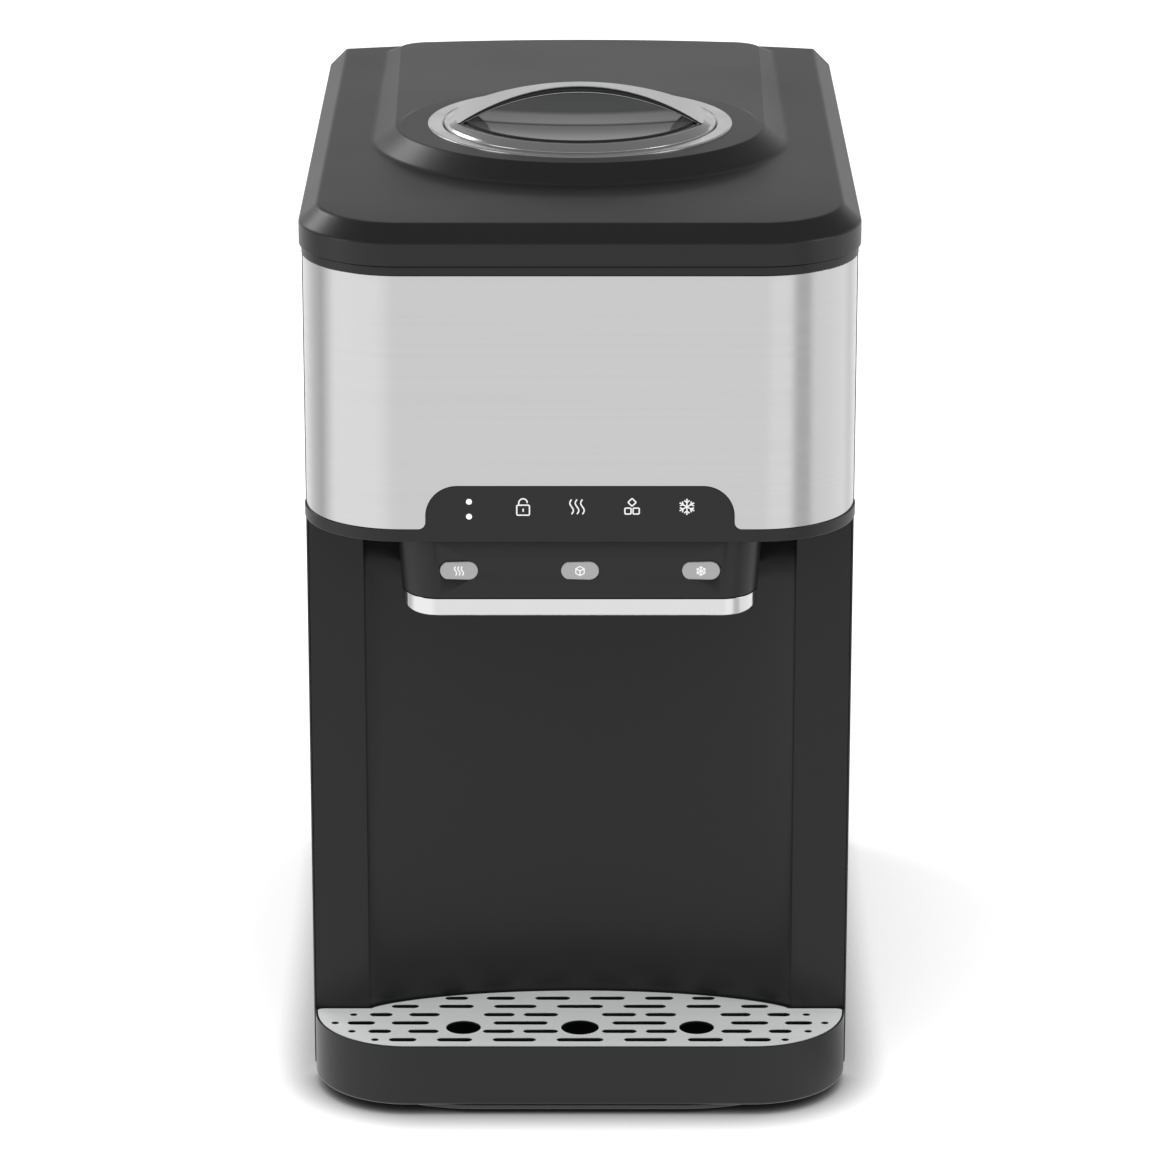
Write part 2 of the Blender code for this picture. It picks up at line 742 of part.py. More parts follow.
def make_rear_panel():
    """A bowed rear sheet with vents, a pocket for the power inlet and a hole for the drain."""
    outer = [(x, rear_y(x)) for x in spread(-HALF, HALF, BOW_STEPS)]
    inner = [(x, y - REAR_T) for x, y in outer]
    panel = slab("rear_panel", [outer + inner[::-1]], STAND_Z, STEEL_TOP, "dark_sheet")
    floor_y = rear_y(INLET_X) - INLET_SINK
    low = Vector((INLET_X - INLET_WIDTH / 2, floor_y, INLET_LIFT - INLET_HEIGHT / 2))
    high = Vector((INLET_X + INLET_WIDTH / 2, floor_y, INLET_LIFT + INLET_HEIGHT / 2))
    wall = Vector((INLET_WALL, INLET_WALL, INLET_WALL))
    deepest = rear_y(INLET_X + INLET_WIDTH / 2 + INLET_WALL)
    pocket = box("inlet_pocket", low - wall, (high.x + INLET_WALL, deepest, high.z + INLET_WALL))
    hollow = box("inlet_hollow", low, (high.x, REAR + OVERRUN, high.z))
    join(panel, pocket)
    cut(panel, hollow)
    body = inlet_body_half()
    window_low = (INLET_X - body[0] - GAP, floor_y - INLET_WALL - OVERRUN, INLET_LIFT - body[1] - GAP)
    window_high = (INLET_X + body[0] + GAP, REAR + OVERRUN, INLET_LIFT + body[1] + GAP)
    cut(panel, box("inlet_window", window_low, window_high))
    hole_start = (DRAIN_X, rear_y(DRAIN_X) - CAP_R, DRAIN_LIFT)
    cut(panel, rod("drain_hole", hole_start, (DRAIN_X, REAR + OVERRUN, DRAIN_LIFT), DRAIN_R + GAP))
    slots = []
    for row in range(VENT_ROWS):
        for column in range(VENT_COLUMNS):
            x = (column - (VENT_COLUMNS - 1) / 2) * VENT_COLUMN_PITCH
            z = VENT_BOTTOM + row * VENT_ROW_PITCH
            slots.append(stadium((x, z), VENT_LENGTH, VENT_HEIGHT, SLOT_STEPS))
    cut(panel, slab("vent_cutter", slots, CONDENSER_REAR, REAR + OVERRUN, axis="Y"))


def inlet_body_half():
    """Half the width and height of the power inlet's body behind its flange."""
    return (INLET_MOUTH_WIDTH / 2 + INLET_WALL, INLET_MOUTH_HEIGHT / 2 + INLET_WALL)


def make_power_inlet():
    """A three-pin socket in the pocket of the rear panel."""
    x = INLET_X
    face = rear_y(x) - INLET_SINK + GAP
    half_x, half_z = inlet_body_half()
    flange_low = (x - INLET_WIDTH / 2 + GAP, face, INLET_LIFT - INLET_HEIGHT / 2 + GAP)
    flange_high = (x + INLET_WIDTH / 2 - GAP, face + INLET_WALL, INLET_LIFT + INLET_HEIGHT / 2 - GAP)
    inlet = box("power_inlet", flange_low, flange_high, "black_plastic")
    body_low = (x - half_x, face - INLET_DEPTH, INLET_LIFT - half_z)
    body_high = (x + half_x, face + INLET_WALL / 2, INLET_LIFT + half_z)
    join(inlet, box("inlet_body", body_low, body_high))
    mouth = (INLET_MOUTH_WIDTH / 2, INLET_MOUTH_HEIGHT / 2)
    mouth_low = (x - mouth[0], face + INLET_WALL - INLET_MOUTH_DEPTH, INLET_LIFT - mouth[1])
    mouth_high = (x + mouth[0], face + INLET_WALL + OVERRUN, INLET_LIFT + mouth[1])
    cut(inlet, box("inlet_mouth", mouth_low, mouth_high))
    for column, row in ((-1, -1), (1, -1), (0, 1)):
        pin_x = x + column * mouth[0] / 2
        pin_z = INLET_LIFT + row * mouth[1] / 3
        pin_low = (pin_x - INLET_WALL / 2, mouth_low[1] - INLET_WALL / 2, pin_z - INLET_WALL)
        pin_high = (pin_x + INLET_WALL / 2, face, pin_z + INLET_WALL)
        join(inlet, box(f"inlet_pin_{column}_{row}", pin_low, pin_high))


def make_drain():
    """A drain tube through the rear panel, and the cap that pulls off it."""
    x = DRAIN_X
    skin = rear_y(x)
    tip = skin + CAP_LENGTH - CAP_WALL - GAP
    profile = [(DRAIN_R, 0), (DRAIN_R, -DRAIN_LENGTH), (DRAIN_BORE_R, -DRAIN_LENGTH), (DRAIN_BORE_R, 0)]
    port = turned("drain_port", profile, (x, tip, DRAIN_LIFT), "grey_plastic", closed=True, axis="Y")
    collar_end = rear_y(abs(x) + CAP_R) - REAR_T - 2 * GAP
    collar = rod("drain_collar", (x, collar_end - CAP_WALL, DRAIN_LIFT), (x, collar_end, DRAIN_LIFT), CAP_R)
    join(port, collar)
    bore = ((x, collar_end - CAP_R, DRAIN_LIFT), (x, REAR, DRAIN_LIFT))
    cut(port, rod("drain_bore", *bore, DRAIN_BORE_R, steps=ROUND_STEPS))
    inner = DRAIN_R + GAP
    start = bow_slack(x)
    cap = [(0, CAP_LENGTH), (CAP_R, CAP_LENGTH), (CAP_R, start), (inner, start)]
    cap += [(inner, CAP_LENGTH - CAP_WALL), (0, CAP_LENGTH - CAP_WALL)]
    turned("drain_cap", cap, (x, skin, DRAIN_LIFT), "rubber", axis="Y")


def bow_slack(x):
    """How much further out the bowed rear stands at the inner edge of the drain cap, with a gap."""
    return rear_y(abs(x) - CAP_R) - rear_y(x) + GAP


def make_liner():
    """Columns and concave wall of the niche, one moulding from the base to the trim."""
    edge = SIDE_X - GAP
    curve = [(x, niche_y(x)) for x in spread(-NICHE_X, NICHE_X, BOW_STEPS * 2)]
    front = [(-edge, COLUMN_Y)] + curve + [(edge, COLUMN_Y)]
    back = [(x, y + LINER_T) for x, y in front]
    slab("niche_liner", [front + back[::-1]], STAND_Z, TRIM_BOTTOM - GAP, "black_plastic")


def panel_outline(inset):
    """The raised control panel from the front: a slab with round shoulders and flared feet."""
    half = PANEL_X - inset
    top = STEEL_BOTTOM + PANEL_HEIGHT - inset
    shoulder = PANEL_ROUND_R - inset
    flare = PANEL_FLARE_R + inset
    right_foot = arc((half + flare, STEEL_BOTTOM + flare - inset), flare, 270, 180, CORNER_STEPS // 2)
    right = arc((half - shoulder, top - shoulder), shoulder, 0, 90, CORNER_STEPS)
    left = arc((shoulder - half, top - shoulder), shoulder, 90, 180, CORNER_STEPS)
    left_foot = arc((-half - flare, STEEL_BOTTOM + flare - inset), flare, 0, -90, CORNER_STEPS // 2)
    bottom = STEEL_BOTTOM - TRIM_BAND / 2
    return right_foot + right + left + left_foot + [(-half - flare, bottom), (half + flare, bottom)]


def make_steel_front():
    """The brushed steel sheet that wraps the upper front, with a notch for the control panel."""
    outline = wrap_outline(HALF - STEEL_INSET, FACE, FRONT_CORNER_R, STEEL_T, COLUMN_Y - GAP)
    sheet = slab("steel_front", [outline], STEEL_BOTTOM, STEEL_TOP, "brushed_steel")
    cut(sheet, slab("steel_notch", [panel_outline(0.0)], FRONT - OVERRUN, FACE + FRONT_CORNER_R, axis="Y"))


def make_front_housing():
    """The moulded shell that backs the steel sheet."""
    inset = STEEL_INSET + STEEL_T + GAP
    radius = FRONT_CORNER_R - STEEL_T - GAP
    rear = COLUMN_Y - GAP
    outline = wrap_outline(HALF - inset, FACE + STEEL_T + GAP, radius, HOUSING_T, rear)
    shell = slab("front_housing", [outline], STEEL_BOTTOM, STEEL_TOP, "black_plastic")
    cut(shell, slab("housing_notch", [panel_outline(0.0)], FRONT - OVERRUN, FACE + FRONT_CORNER_R, axis="Y"))


def make_trim():
    """The black band under the steel, its raised control panel and the niche's ceiling."""
    front = FACE - TRIM_PROUD
    half = HALF + TRIM_PROUD
    radius = FRONT_CORNER_R + TRIM_PROUD
    band = wrap_outline(half, front, radius, TRIM_T, COLUMN_Y - GAP)
    trim = slab("front_trim", [band], TRIM_BOTTOM, TRIM_TOP, "black_plastic")
    panel = slab("panel_blank", [panel_outline(GAP)], front, front + TRIM_T, axis="Y")
    back = LINER_BACK + LINER_T
    inner = SIDE_X - GAP
    ceiling = front_corners(half - TRIM_T / 2, front + TRIM_T / 2, radius - TRIM_T / 2)
    ceiling += [(TRIM_T / 2 - half, COLUMN_Y - GAP), (-inner, COLUMN_Y - GAP), (-inner, back)]
    ceiling += [(inner, back), (inner, COLUMN_Y - GAP), (half - TRIM_T / 2, COLUMN_Y - GAP)]
    join(trim, slab("ceiling_blank", [ceiling], TRIM_BOTTOM, CEILING_TOP), panel)
    cut(trim, chute_cutter("ceiling_chute_hole", CHUTE_WALL + GAP, TRIM_BOTTOM, CEILING_TOP))
    for side in (-1, 1):
        hole = rod(
            f"ceiling_spout_hole_{side}",
            (side * OUTLET_X, OUTLET_Y, TRIM_BOTTOM - OVERRUN),
            (side * OUTLET_X, OUTLET_Y, CEILING_TOP + OVERRUN),
            SPOUT_R + GAP,
            steps=ROUND_STEPS,
        )
        cut(trim, hole)
    for name, z in panel_lights():
        x = LIGHT_EDGE - PANEL_X
        hole = rod(f"{name}_hole", (x, front - OVERRUN, z), (x, front + TRIM_T + OVERRUN, z), LIGHT_R + GAP)
        cut(trim, hole)


def panel_lights():
    """The two lights at the left of the control panel, as (name, height)."""
    top = STEEL_BOTTOM + PANEL_HEIGHT - LIGHT_TOP_DROP
    return (("power_light", top), ("refill_light", top - LIGHT_PITCH))


def make_panel_lights():
    """A light pipe behind each round window of the control panel."""
    front = FACE - TRIM_PROUD
    x = LIGHT_EDGE - PANEL_X
    for name, z in panel_lights():
        rod(name, (x, front, z), (x, front + TRIM_T, z), LIGHT_R, "white_plastic")


def make_touch_board():
    """The circuit board behind the control panel."""
    rear_of_trim = FACE - TRIM_PROUD + TRIM_T + GAP
    half = PANEL_X - TOUCH_BOARD_MARGIN
    low = (-half, rear_of_trim, STEEL_BOTTOM)
    high = (half, rear_of_trim + TOUCH_BOARD_T, STEEL_BOTTOM + TOUCH_BOARD_HEIGHT)
    box("touch_board", low, high, "board_green")


def make_upper_frame():
    """The rim that ties the panels together and carries the top cover."""
    outer = body_outline(HALF, FACE, FRONT_CORNER_R)
    inner = body_outline(HALF - RIM_WIDTH, FACE + RIM_WIDTH, FRONT_CORNER_R - RIM_WIDTH, RIM_WIDTH)
    slab("upper_frame", [outer, inner], RIM_BOTTOM, RIM_TOP, "black_plastic")


def plateau_points(radius, side_x, rear_inset, rear_level, front_level):
    """A ring of points round the raised part of the top cover, level in front and falling rearwards."""
    points = arc((0, RING_Y), radius, 0, -180, CORNER_STEPS * 3)
    corner_y = rear_y(side_x - PLATEAU_CORNER_R) - rear_inset - PLATEAU_CORNER_R
    points += arc((PLATEAU_CORNER_R - side_x, corner_y), PLATEAU_CORNER_R, 180, 90, CORNER_STEPS)
    inner_x = side_x - PLATEAU_CORNER_R
    for x in spread(-inner_x, inner_x, BOW_STEPS)[1:-1]:
        points.append((x, rear_y(x) - rear_inset))
    points += arc((side_x - PLATEAU_CORNER_R, corner_y), PLATEAU_CORNER_R, 90, 0, CORNER_STEPS)
    ring = []
    for x, y in points:
        fall = max(0.0, (y - RING_Y) / (REAR - rear_inset - RING_Y))
        ring.append((x, y, front_level + (rear_level - front_level) * fall))
    return ring


def make_top_cover():
    """The top cover: a shell with bevelled edges and a raised seat for a bottle."""
    half = HALF + LID_OVERHANG
    radius = FRONT_CORNER_R + LID_OVERHANG
    skirt = body_outline(half, FRONT, radius)
    bevel = LID_BEVEL_WIDTH
    top = body_outline(half - bevel, FRONT + bevel, radius - bevel)
    bevel_z = TOP_HEIGHT - LID_BEVEL_HEIGHT
    sections = [at_level(skirt, LID_SEAM), at_level(skirt, bevel_z), at_level(top, TOP_HEIGHT)]
    cover = loft("top_cover", sections, "black_plastic")
    foot = PLATEAU_TOP_R + PLATEAU_SLOPE_WIDTH
    slope_share = PLATEAU_REAR_HEIGHT / PLATEAU_FRONT_HEIGHT
    rear_side = foot - PLATEAU_SLOPE_WIDTH * slope_share
    sunk = TOP_HEIGHT - LID_WALL / 2
    rear_foot = PLATEAU_REAR_EDGE
    lower = plateau_points(foot, foot, rear_foot, sunk, sunk)
    middle = plateau_points(foot, foot, rear_foot, TOP_HEIGHT, TOP_HEIGHT)
    rear_inset = rear_foot + PLATEAU_REAR_SLOPE
    rear_height = TOP_HEIGHT + PLATEAU_REAR_HEIGHT
    upper = plateau_points(PLATEAU_TOP_R, rear_side, rear_inset, rear_height, PLATEAU_TOP)
    join(cover, plateau(lower, middle, upper))
    disc_r = PLATEAU_TOP_R - GAP
    disc = rod("seat_disc", (0, RING_Y, sunk), (0, RING_Y, PLATEAU_TOP), disc_r, steps=RING_STEPS)
    join(cover, disc)
    wall = LID_WALL
    inner_skirt = body_outline(half - wall, FRONT + wall, radius - wall, wall)
    inner_top = body_outline(half - wall - bevel, FRONT + wall + bevel, radius - wall - bevel, wall)
    hollow = [at_level(inner_skirt, LID_SEAM - OVERRUN), at_level(inner_skirt, bevel_z - wall)]
    hollow.append(at_level(inner_top, TOP_HEIGHT - wall))
    cut(cover, loft("cover_hollow", hollow))
    under = PLATEAU_TOP_R - LID_WALL
    seat_hollow = ((0, RING_Y, LID_SEAM), (0, RING_Y, PLATEAU_TOP - wall))
    cut(cover, rod("seat_hollow", *seat_hollow, under, steps=RING_STEPS))
    bore = SEAT_BORE_R + SEAT_WALL + GAP
    hole = ((0, RING_Y, LID_SEAM), (0, RING_Y, PLATEAU_TOP + OVERRUN))
    cut(cover, rod("seat_hole", *hole, bore, steps=RING_STEPS))


def plateau(lower, middle, upper):
    """The raised part as a skin over three rings, with its top folded across the seat's middle."""
    shape = bmesh.new()
    rings = [[shape.verts.new(point) for point in ring] for ring in (lower, middle, upper)]
    count = len(lower)
    for below, above in zip(rings, rings[1:]):
        for index in range(count):
            after = (index + 1) % count
            shape.faces.new((below[index], below[after], above[after], above[index]))
    shape.faces.new(rings[0][::-1])
    fold = CORNER_STEPS * 3
    shape.faces.new(rings[-1][:fold + 1])
    shape.faces.new([rings[-1][0]] + rings[-1][fold:])
    bmesh.ops.recalc_face_normals(shape, faces=shape.faces)
    return place(mesh_of(shape, "plateau"), "plateau")


def make_bottle_seat():
    """The flanged funnel that a bottle's neck stands in, with its probe and outlet."""
    inner = SEAT_BORE_R - SEAT_SHELF_WIDTH
    floor = -SEAT_DEPTH
    profile = [(FLANGE_R, 0), (FLANGE_R, -FLANGE_T), (SEAT_BORE_R + SEAT_WALL, -FLANGE_T)]
    profile += [(SEAT_BORE_R + SEAT_WALL, -SEAT_SHELF_DROP - SEAT_WALL), (inner + SEAT_WALL, floor / 2)]
    profile += [(SEAT_FLOOR_R + SEAT_WALL, floor - SEAT_WALL), (NOZZLE_R, floor - SEAT_WALL)]
    nozzle_tip = floor - SEAT_WALL - NOZZLE_LENGTH
    profile += [(NOZZLE_R, nozzle_tip), (PROBE_BORE_R, nozzle_tip)]
    profile += [(PROBE_BORE_R, floor + PROBE_HEIGHT), (PROBE_R * 2 / 3, floor + PROBE_HEIGHT)]
    profile += [(PROBE_R, floor + PROBE_HEIGHT * 2 / 3), (PROBE_R, floor), (SEAT_FLOOR_R, floor)]
    profile += [(inner, floor / 2), (inner, -SEAT_SHELF_DROP)]
    profile += [(SEAT_BORE_R, -SEAT_SHELF_DROP), (SEAT_BORE_R, 0)]
    turned("bottle_seat", profile, (0, RING_Y, FLANGE_TOP), "silver_plastic", steps=RING_STEPS, closed=True)


def make_dust_cover():
    """The round cover in the seat: a dish with a raised lip and a grip that arches over it."""
    outer = SEAT_BORE_R - GAP
    bottom = GAP - SEAT_SHELF_DROP
    shoulder = (outer + COVER_MOUTH_R) / 2
    skirt = outer - COVER_T
    lip = COVER_MOUTH_R + COVER_T / 2
    profile = [(0, -DISH_DEPTH), (DISH_FLOOR_R, -DISH_DEPTH), (COVER_MOUTH_R - COVER_T, COVER_T)]
    profile += [(COVER_MOUTH_R, COVER_RISE), (shoulder, COVER_RISE)]
    profile += [(outer - COVER_T / 2, COVER_T), (outer, 0)]
    profile += [(outer, bottom), (skirt, bottom), (skirt, 0), (shoulder, COVER_RISE - COVER_T)]
    profile += [(lip, COVER_RISE - COVER_T), (lip - COVER_T, 0), (DISH_FLOOR_R, -DISH_DEPTH - COVER_T)]
    profile.append((0, -DISH_DEPTH - COVER_T))
    cover = turned("dust_cover", profile, (0, RING_Y, FLANGE_TOP), "smoke_plastic", steps=RING_STEPS)
    join(cover, grip_strap())


def grip_strap():
    """The arched grip, narrow at its crown and wide at its two feet."""
    reach = COVER_MOUTH_R + COVER_T
    sections = []
    for x in spread(-reach, reach, BOW_STEPS * 2):
        share = (x / reach) ** 2
        top = GRIP_END_RISE + COVER_T + bow(x, reach, GRIP_RISE - GRIP_END_RISE - COVER_T)
        half = (GRIP_WIDTH + (GRIP_END_WIDTH - GRIP_WIDTH) * share) / 2
        low = top - GRIP_T
        round_off = GRIP_T / 3
        ring = [(-half, low + round_off), (-half, top - round_off), (round_off - half, top)]
        ring += [(half - round_off, top), (half, top - round_off), (half, low + round_off)]
        ring += [(half - round_off, low), (round_off - half, low)]
        sections.append([(x, RING_Y + y, FLANGE_TOP + z) for y, z in ring])
    return loft("grip_strap", sections)


def head_outline(half, front, radius, rear_gap):
    """The dispenser head in plan, its rear following the wall of the niche."""
    points = front_corners(half, front, radius)
    for x in spread(-half, half, BOW_STEPS):
        points.append((x, niche_y(x) - rear_gap))
    return points


def head_half(level):
    """Half the head's width at a height: it tapers downwards."""
    return HEAD_X - HEAD_TAPER * (HEAD_TOP - level) / (HEAD_TOP - BAND_TOP)


def make_head():
    """The head's housing: hollow, with a floor that the outlets pass and holes for the buttons."""
    low_half = head_half(BAND_TOP)
    upper = head_outline(HEAD_X, HEAD_FRONT, HEAD_CORNER_R, HEAD_REAR_GAP)
    lower = head_outline(low_half, HEAD_FRONT, HEAD_CORNER_R, HEAD_REAR_GAP)
    level = BAND_TOP + GAP
    head = loft("dispenser_head", [at_level(lower, level), at_level(upper, HEAD_TOP)], "black_plastic")
    step = BAND_T + GAP
    skirt = head_outline(low_half - step, HEAD_FRONT + step, HEAD_CORNER_R - step, HEAD_REAR_GAP)
    floor = HEAD_BOTTOM + GAP
    skirt_top = level + HEAD_WALL
    join(head, loft("head_skirt", [at_level(skirt, floor), at_level(skirt, skirt_top)]))
    inset = step + HEAD_WALL
    rear = HEAD_REAR_GAP + HEAD_WALL
    hollow = head_outline(low_half - inset, HEAD_FRONT + inset, HEAD_CORNER_R - inset, rear)
    levels = [at_level(hollow, floor + HEAD_WALL), at_level(hollow, skirt_top)]
    cut(head, loft("head_hollow", levels))
    wall_front = HEAD_FRONT + HEAD_WALL
    wall_r = HEAD_CORNER_R - HEAD_WALL
    levels = [at_level(head_outline(low_half - inset, wall_front, wall_r, rear), skirt_top - OVERRUN)]
    levels.append(at_level(head_outline(HEAD_X - inset, wall_front, wall_r, rear), HEAD_TOP + OVERRUN))
    cut(head, loft("head_room", levels))
    cut(head, chute_cutter("head_chute_hole", CHUTE_WALL + GAP, floor, floor + HEAD_WALL))
    for side in (-1, 1):
        x = side * OUTLET_X
        start = (x, OUTLET_Y, floor - OVERRUN)
        end = (x, OUTLET_Y, floor + HEAD_WALL + OVERRUN)
        cut(head, rod(f"head_spout_hole_{side}", start, end, SPOUT_R + GAP, steps=ROUND_STEPS))
    add_button_holes(head)
    add_board_pegs(head)


def add_button_holes(head):
    """A pill-shaped hole through the head's front wall for each button."""
    for name, x in button_places():
        outline = stadium((x, BUTTON_Z), BUTTON_LENGTH, BUTTON_HEIGHT, CORNER_STEPS)
        end = HEAD_FRONT + HEAD_WALL + OVERRUN
        cut(head, slab(f"{name}_hole", [outline], HEAD_FRONT - OVERRUN, end, axis="Y"))


def add_board_pegs(head):
    """Two pegs from the front wall that carry the button board."""
    for side in (-1, 1):
        x = side * OUTLET_X / 2
        start = (x, HEAD_FRONT + HEAD_WALL / 2, BUTTON_Z)
        end = (x, HEAD_FRONT + BOARD_SETBACK - GAP, BUTTON_Z)
        join(head, rod(f"board_peg_{side}", start, end, PEG_R))


def button_places():
    """Each button's name and its place across the head."""
    return (("hot_button", -OUTLET_X), ("ice_button", 0.0), ("cold_button", OUTLET_X))


def make_buttons():
    """Three pill-shaped buttons, each with a flange behind the wall and a stem to its switch."""
    front = HEAD_FRONT - BUTTON_PROUD
    flange_front = HEAD_FRONT + HEAD_WALL + GAP
    flange_back = flange_front + BUTTON_FLANGE_T
    stem_end = HEAD_FRONT + BOARD_SETBACK - SWITCH_T - GAP - BUTTON_TRAVEL
    for name, x in button_places():
        cap = stadium((x, BUTTON_Z), BUTTON_LENGTH - 2 * GAP, BUTTON_HEIGHT - 2 * GAP, CORNER_STEPS)
        rim = 2 * BUTTON_FLANGE
        flange = stadium((x, BUTTON_Z), BUTTON_LENGTH + rim, BUTTON_HEIGHT + rim, CORNER_STEPS)
        button = slab(name, [cap], front, flange_back, "grey_plastic", axis="Y")
        join(button, slab(f"{name}_flange", [flange], flange_front, flange_back, axis="Y"))
        stem_start = (x, flange_back - BUTTON_FLANGE_T / 2, BUTTON_Z)
        join(button, rod(f"{name}_stem", stem_start, (x, stem_end, BUTTON_Z), BUTTON_STEM_R))


def make_button_board():
    """The board behind the buttons, with a switch for each."""
    front = HEAD_FRONT + BOARD_SETBACK
    half = OUTLET_X + BOARD_MARGIN
    low = (-half, front, BUTTON_Z - BOARD_HEIGHT / 2)
    board = box("button_board", low, (half, front + BOARD_T, BUTTON_Z + BOARD_HEIGHT / 2), "board_green")
    for name, x in button_places():
        start = (x, front + BOARD_T / 2, BUTTON_Z)
        join(board, rod(f"{name}_switch", start, (x, front - SWITCH_T, BUTTON_Z), SWITCH_R))


def make_chrome_band():
    """The bright band round the head's lower edge, with a lip that turns under."""
    low_half = head_half(BAND_TOP)
    rear = HEAD_REAR_GAP
    lip = BAND_LIP_INSET
    outer = head_outline(low_half, HEAD_FRONT, HEAD_CORNER_R, rear)
    under = head_outline(low_half - lip, HEAD_FRONT + lip, HEAD_CORNER_R - lip, rear)
    turn_z = HEAD_BOTTOM + BAND_LIP_HEIGHT
    sections = [at_level(under, HEAD_BOTTOM), at_level(outer, turn_z), at_level(outer, BAND_TOP)]
    band = loft("chrome_band", sections, "chrome")
    inset = BAND_T
    inner = head_outline(low_half - inset, HEAD_FRONT + inset, HEAD_CORNER_R - inset, -OVERRUN)
    levels = [at_level(inner, HEAD_BOTTOM - OVERRUN), at_level(inner, BAND_TOP + OVERRUN)]
    cut(band, loft("band_hollow", levels))


def make_spouts():
    """A hot and a cold spout, each hung in the head's floor by its collar and fed from its valve."""
    top = DECK_STAND_Z
    tip = HEAD_BOTTOM - SPOUT_DROP
    collar_low = HEAD_BOTTOM + 2 * GAP + HEAD_WALL
    collar_top = collar_low + SPOUT_COLLAR_T
    profile = [(SPOUT_R, top), (SPOUT_R, collar_top), (SPOUT_COLLAR_R, collar_top)]
    profile += [(SPOUT_COLLAR_R, collar_low), (SPOUT_R, collar_low), (SPOUT_TIP_R, tip)]
    profile += [(SPOUT_BORE_R, tip), (SPOUT_BORE_R, top)]
    for name, side in (("hot_spout", -1), ("cold_spout", 1)):
        turned(name, profile, (side * OUTLET_X, OUTLET_Y, 0), "white_plastic", closed=True)


def chute_cutter(name, margin, low, high):
    """A block as wide as the ice chute's bore and this margin round it."""
    half_x = CHUTE_WIDTH / 2 - CHUTE_WALL + margin
    half_y = CHUTE_DEPTH / 2 - CHUTE_WALL + margin
    near = (-half_x, CHUTE_Y - half_y, low - OVERRUN)
    return box(name, near, (half_x, CHUTE_Y + half_y, high + OVERRUN))


def flap_axis():
    """The point on the ice flap's hinge line at the middle of the chute."""
    y = CHUTE_Y + CHUTE_DEPTH / 2 - CHUTE_WALL - FLAP_PIN_R - 2 * GAP
    return Vector((0, y, HEAD_BOTTOM + FLAP_RISE))


def make_chute():
    """The square chute that ice falls through, from the bucket to the mouth in the head."""
    half_x = CHUTE_WIDTH / 2
    half_y = CHUTE_DEPTH / 2
    low = (-half_x, CHUTE_Y - half_y, HEAD_BOTTOM)
    chute = box("ice_chute", low, (half_x, CHUTE_Y + half_y, DECK_STAND_Z - GAP), "white_plastic")
    cut(chute, chute_cutter("chute_bore", 0.0, HEAD_BOTTOM, DECK_STAND_Z))
    axis = flap_axis()
    reach = Vector((half_x + OVERRUN, 0, 0))
    cut(chute, rod("chute_pin_hole", axis - reach, axis + reach, FLAP_PIN_R + GAP))


def make_flap():
    """The flap that closes the chute's mouth, on two pins in the chute's sides."""
    axis = flap_axis()
    half_x = CHUTE_WIDTH / 2 - CHUTE_WALL - 2 * GAP
    front = CHUTE_Y - CHUTE_DEPTH / 2 + CHUTE_WALL + 2 * GAP
    low = (-half_x, front, axis.z - FLAP_T / 2)
    flap = box("ice_flap", low, (half_x, axis.y, axis.z + FLAP_T / 2), "black_plastic")
    reach = Vector((CHUTE_WIDTH / 2 - GAP, 0, 0))
    join(flap, rod("flap_pin", axis - reach, axis + reach, FLAP_PIN_R))
    hinge_at(flap, axis)


def tray_outline(inset):
    """The drip tray in plan: round front corners, and a rear that swells into the niche."""
    half = TRAY_X - inset
    points = front_corners(half, FACE + inset, FRONT_CORNER_R - TRAY_SIDE_INSET - inset)
    rear = COLUMN_Y - GAP - inset
    points.append((-half, rear))
    swell = NICHE_X - inset
    for x in spread(-swell, swell, BOW_STEPS * 2):
        points.append((x, rear + niche_bow(x, swell)))
    points.append((half, rear))
    return points


def make_tray():
    """The drip tray, which pulls out forwards: a walled dish with a ledge for the grille."""
    tray = slab("drip_tray", [tray_outline(0.0)], STAND_Z, TRAY_TOP, "black_plastic")
    ledge = TRAY_TOP - GRILLE_T - GAP
    high = TRAY_TOP + OVERRUN
    cut(tray, slab("grille_rebate", [tray_outline(TRAY_RIM)], ledge, high))
    cut(tray, slab("tray_hollow", [tray_outline(TRAY_RIM + TRAY_WALL)], STAND_Z + TRAY_WALL, high))


def plate_edge(y):
    """How far from the middle the slotted plate's edge is at a row near its round front corners."""
    inset = TRAY_RIM + GAP
    radius = FRONT_CORNER_R - TRAY_SIDE_INSET - inset
    before = max(0.0, FACE + inset + radius - y)
    return TRAY_X - inset - radius + math.sqrt(radius * radius - before * before)


def row_slots(y, shares, dot_share=None, centre_share=None):
    """Outlines of one row of slots, the same on both sides, drawn in where a corner would cut its dots."""
    reach = TRAY_X
    if dot_share:
        reach = min(reach, (plate_edge(y) - DOT_R - DOT_EDGE_GAP) / dot_share)
    outlines = []
    if centre_share:
        outlines.append(stadium((0, y), 2 * centre_share * reach, SLOT_HEIGHT, SLOT_STEPS))
    for start, end in shares:
        middle = (start + end) / 2 * reach
        for side in (-1, 1):
            outlines.append(stadium((side * middle, y), (end - start) * reach, SLOT_HEIGHT, SLOT_STEPS))
    if dot_share:
        for side in (-1, 1):
            outlines.append(circle((side * dot_share * reach, y), DOT_R, SMALL_STEPS // 2))
    return outlines


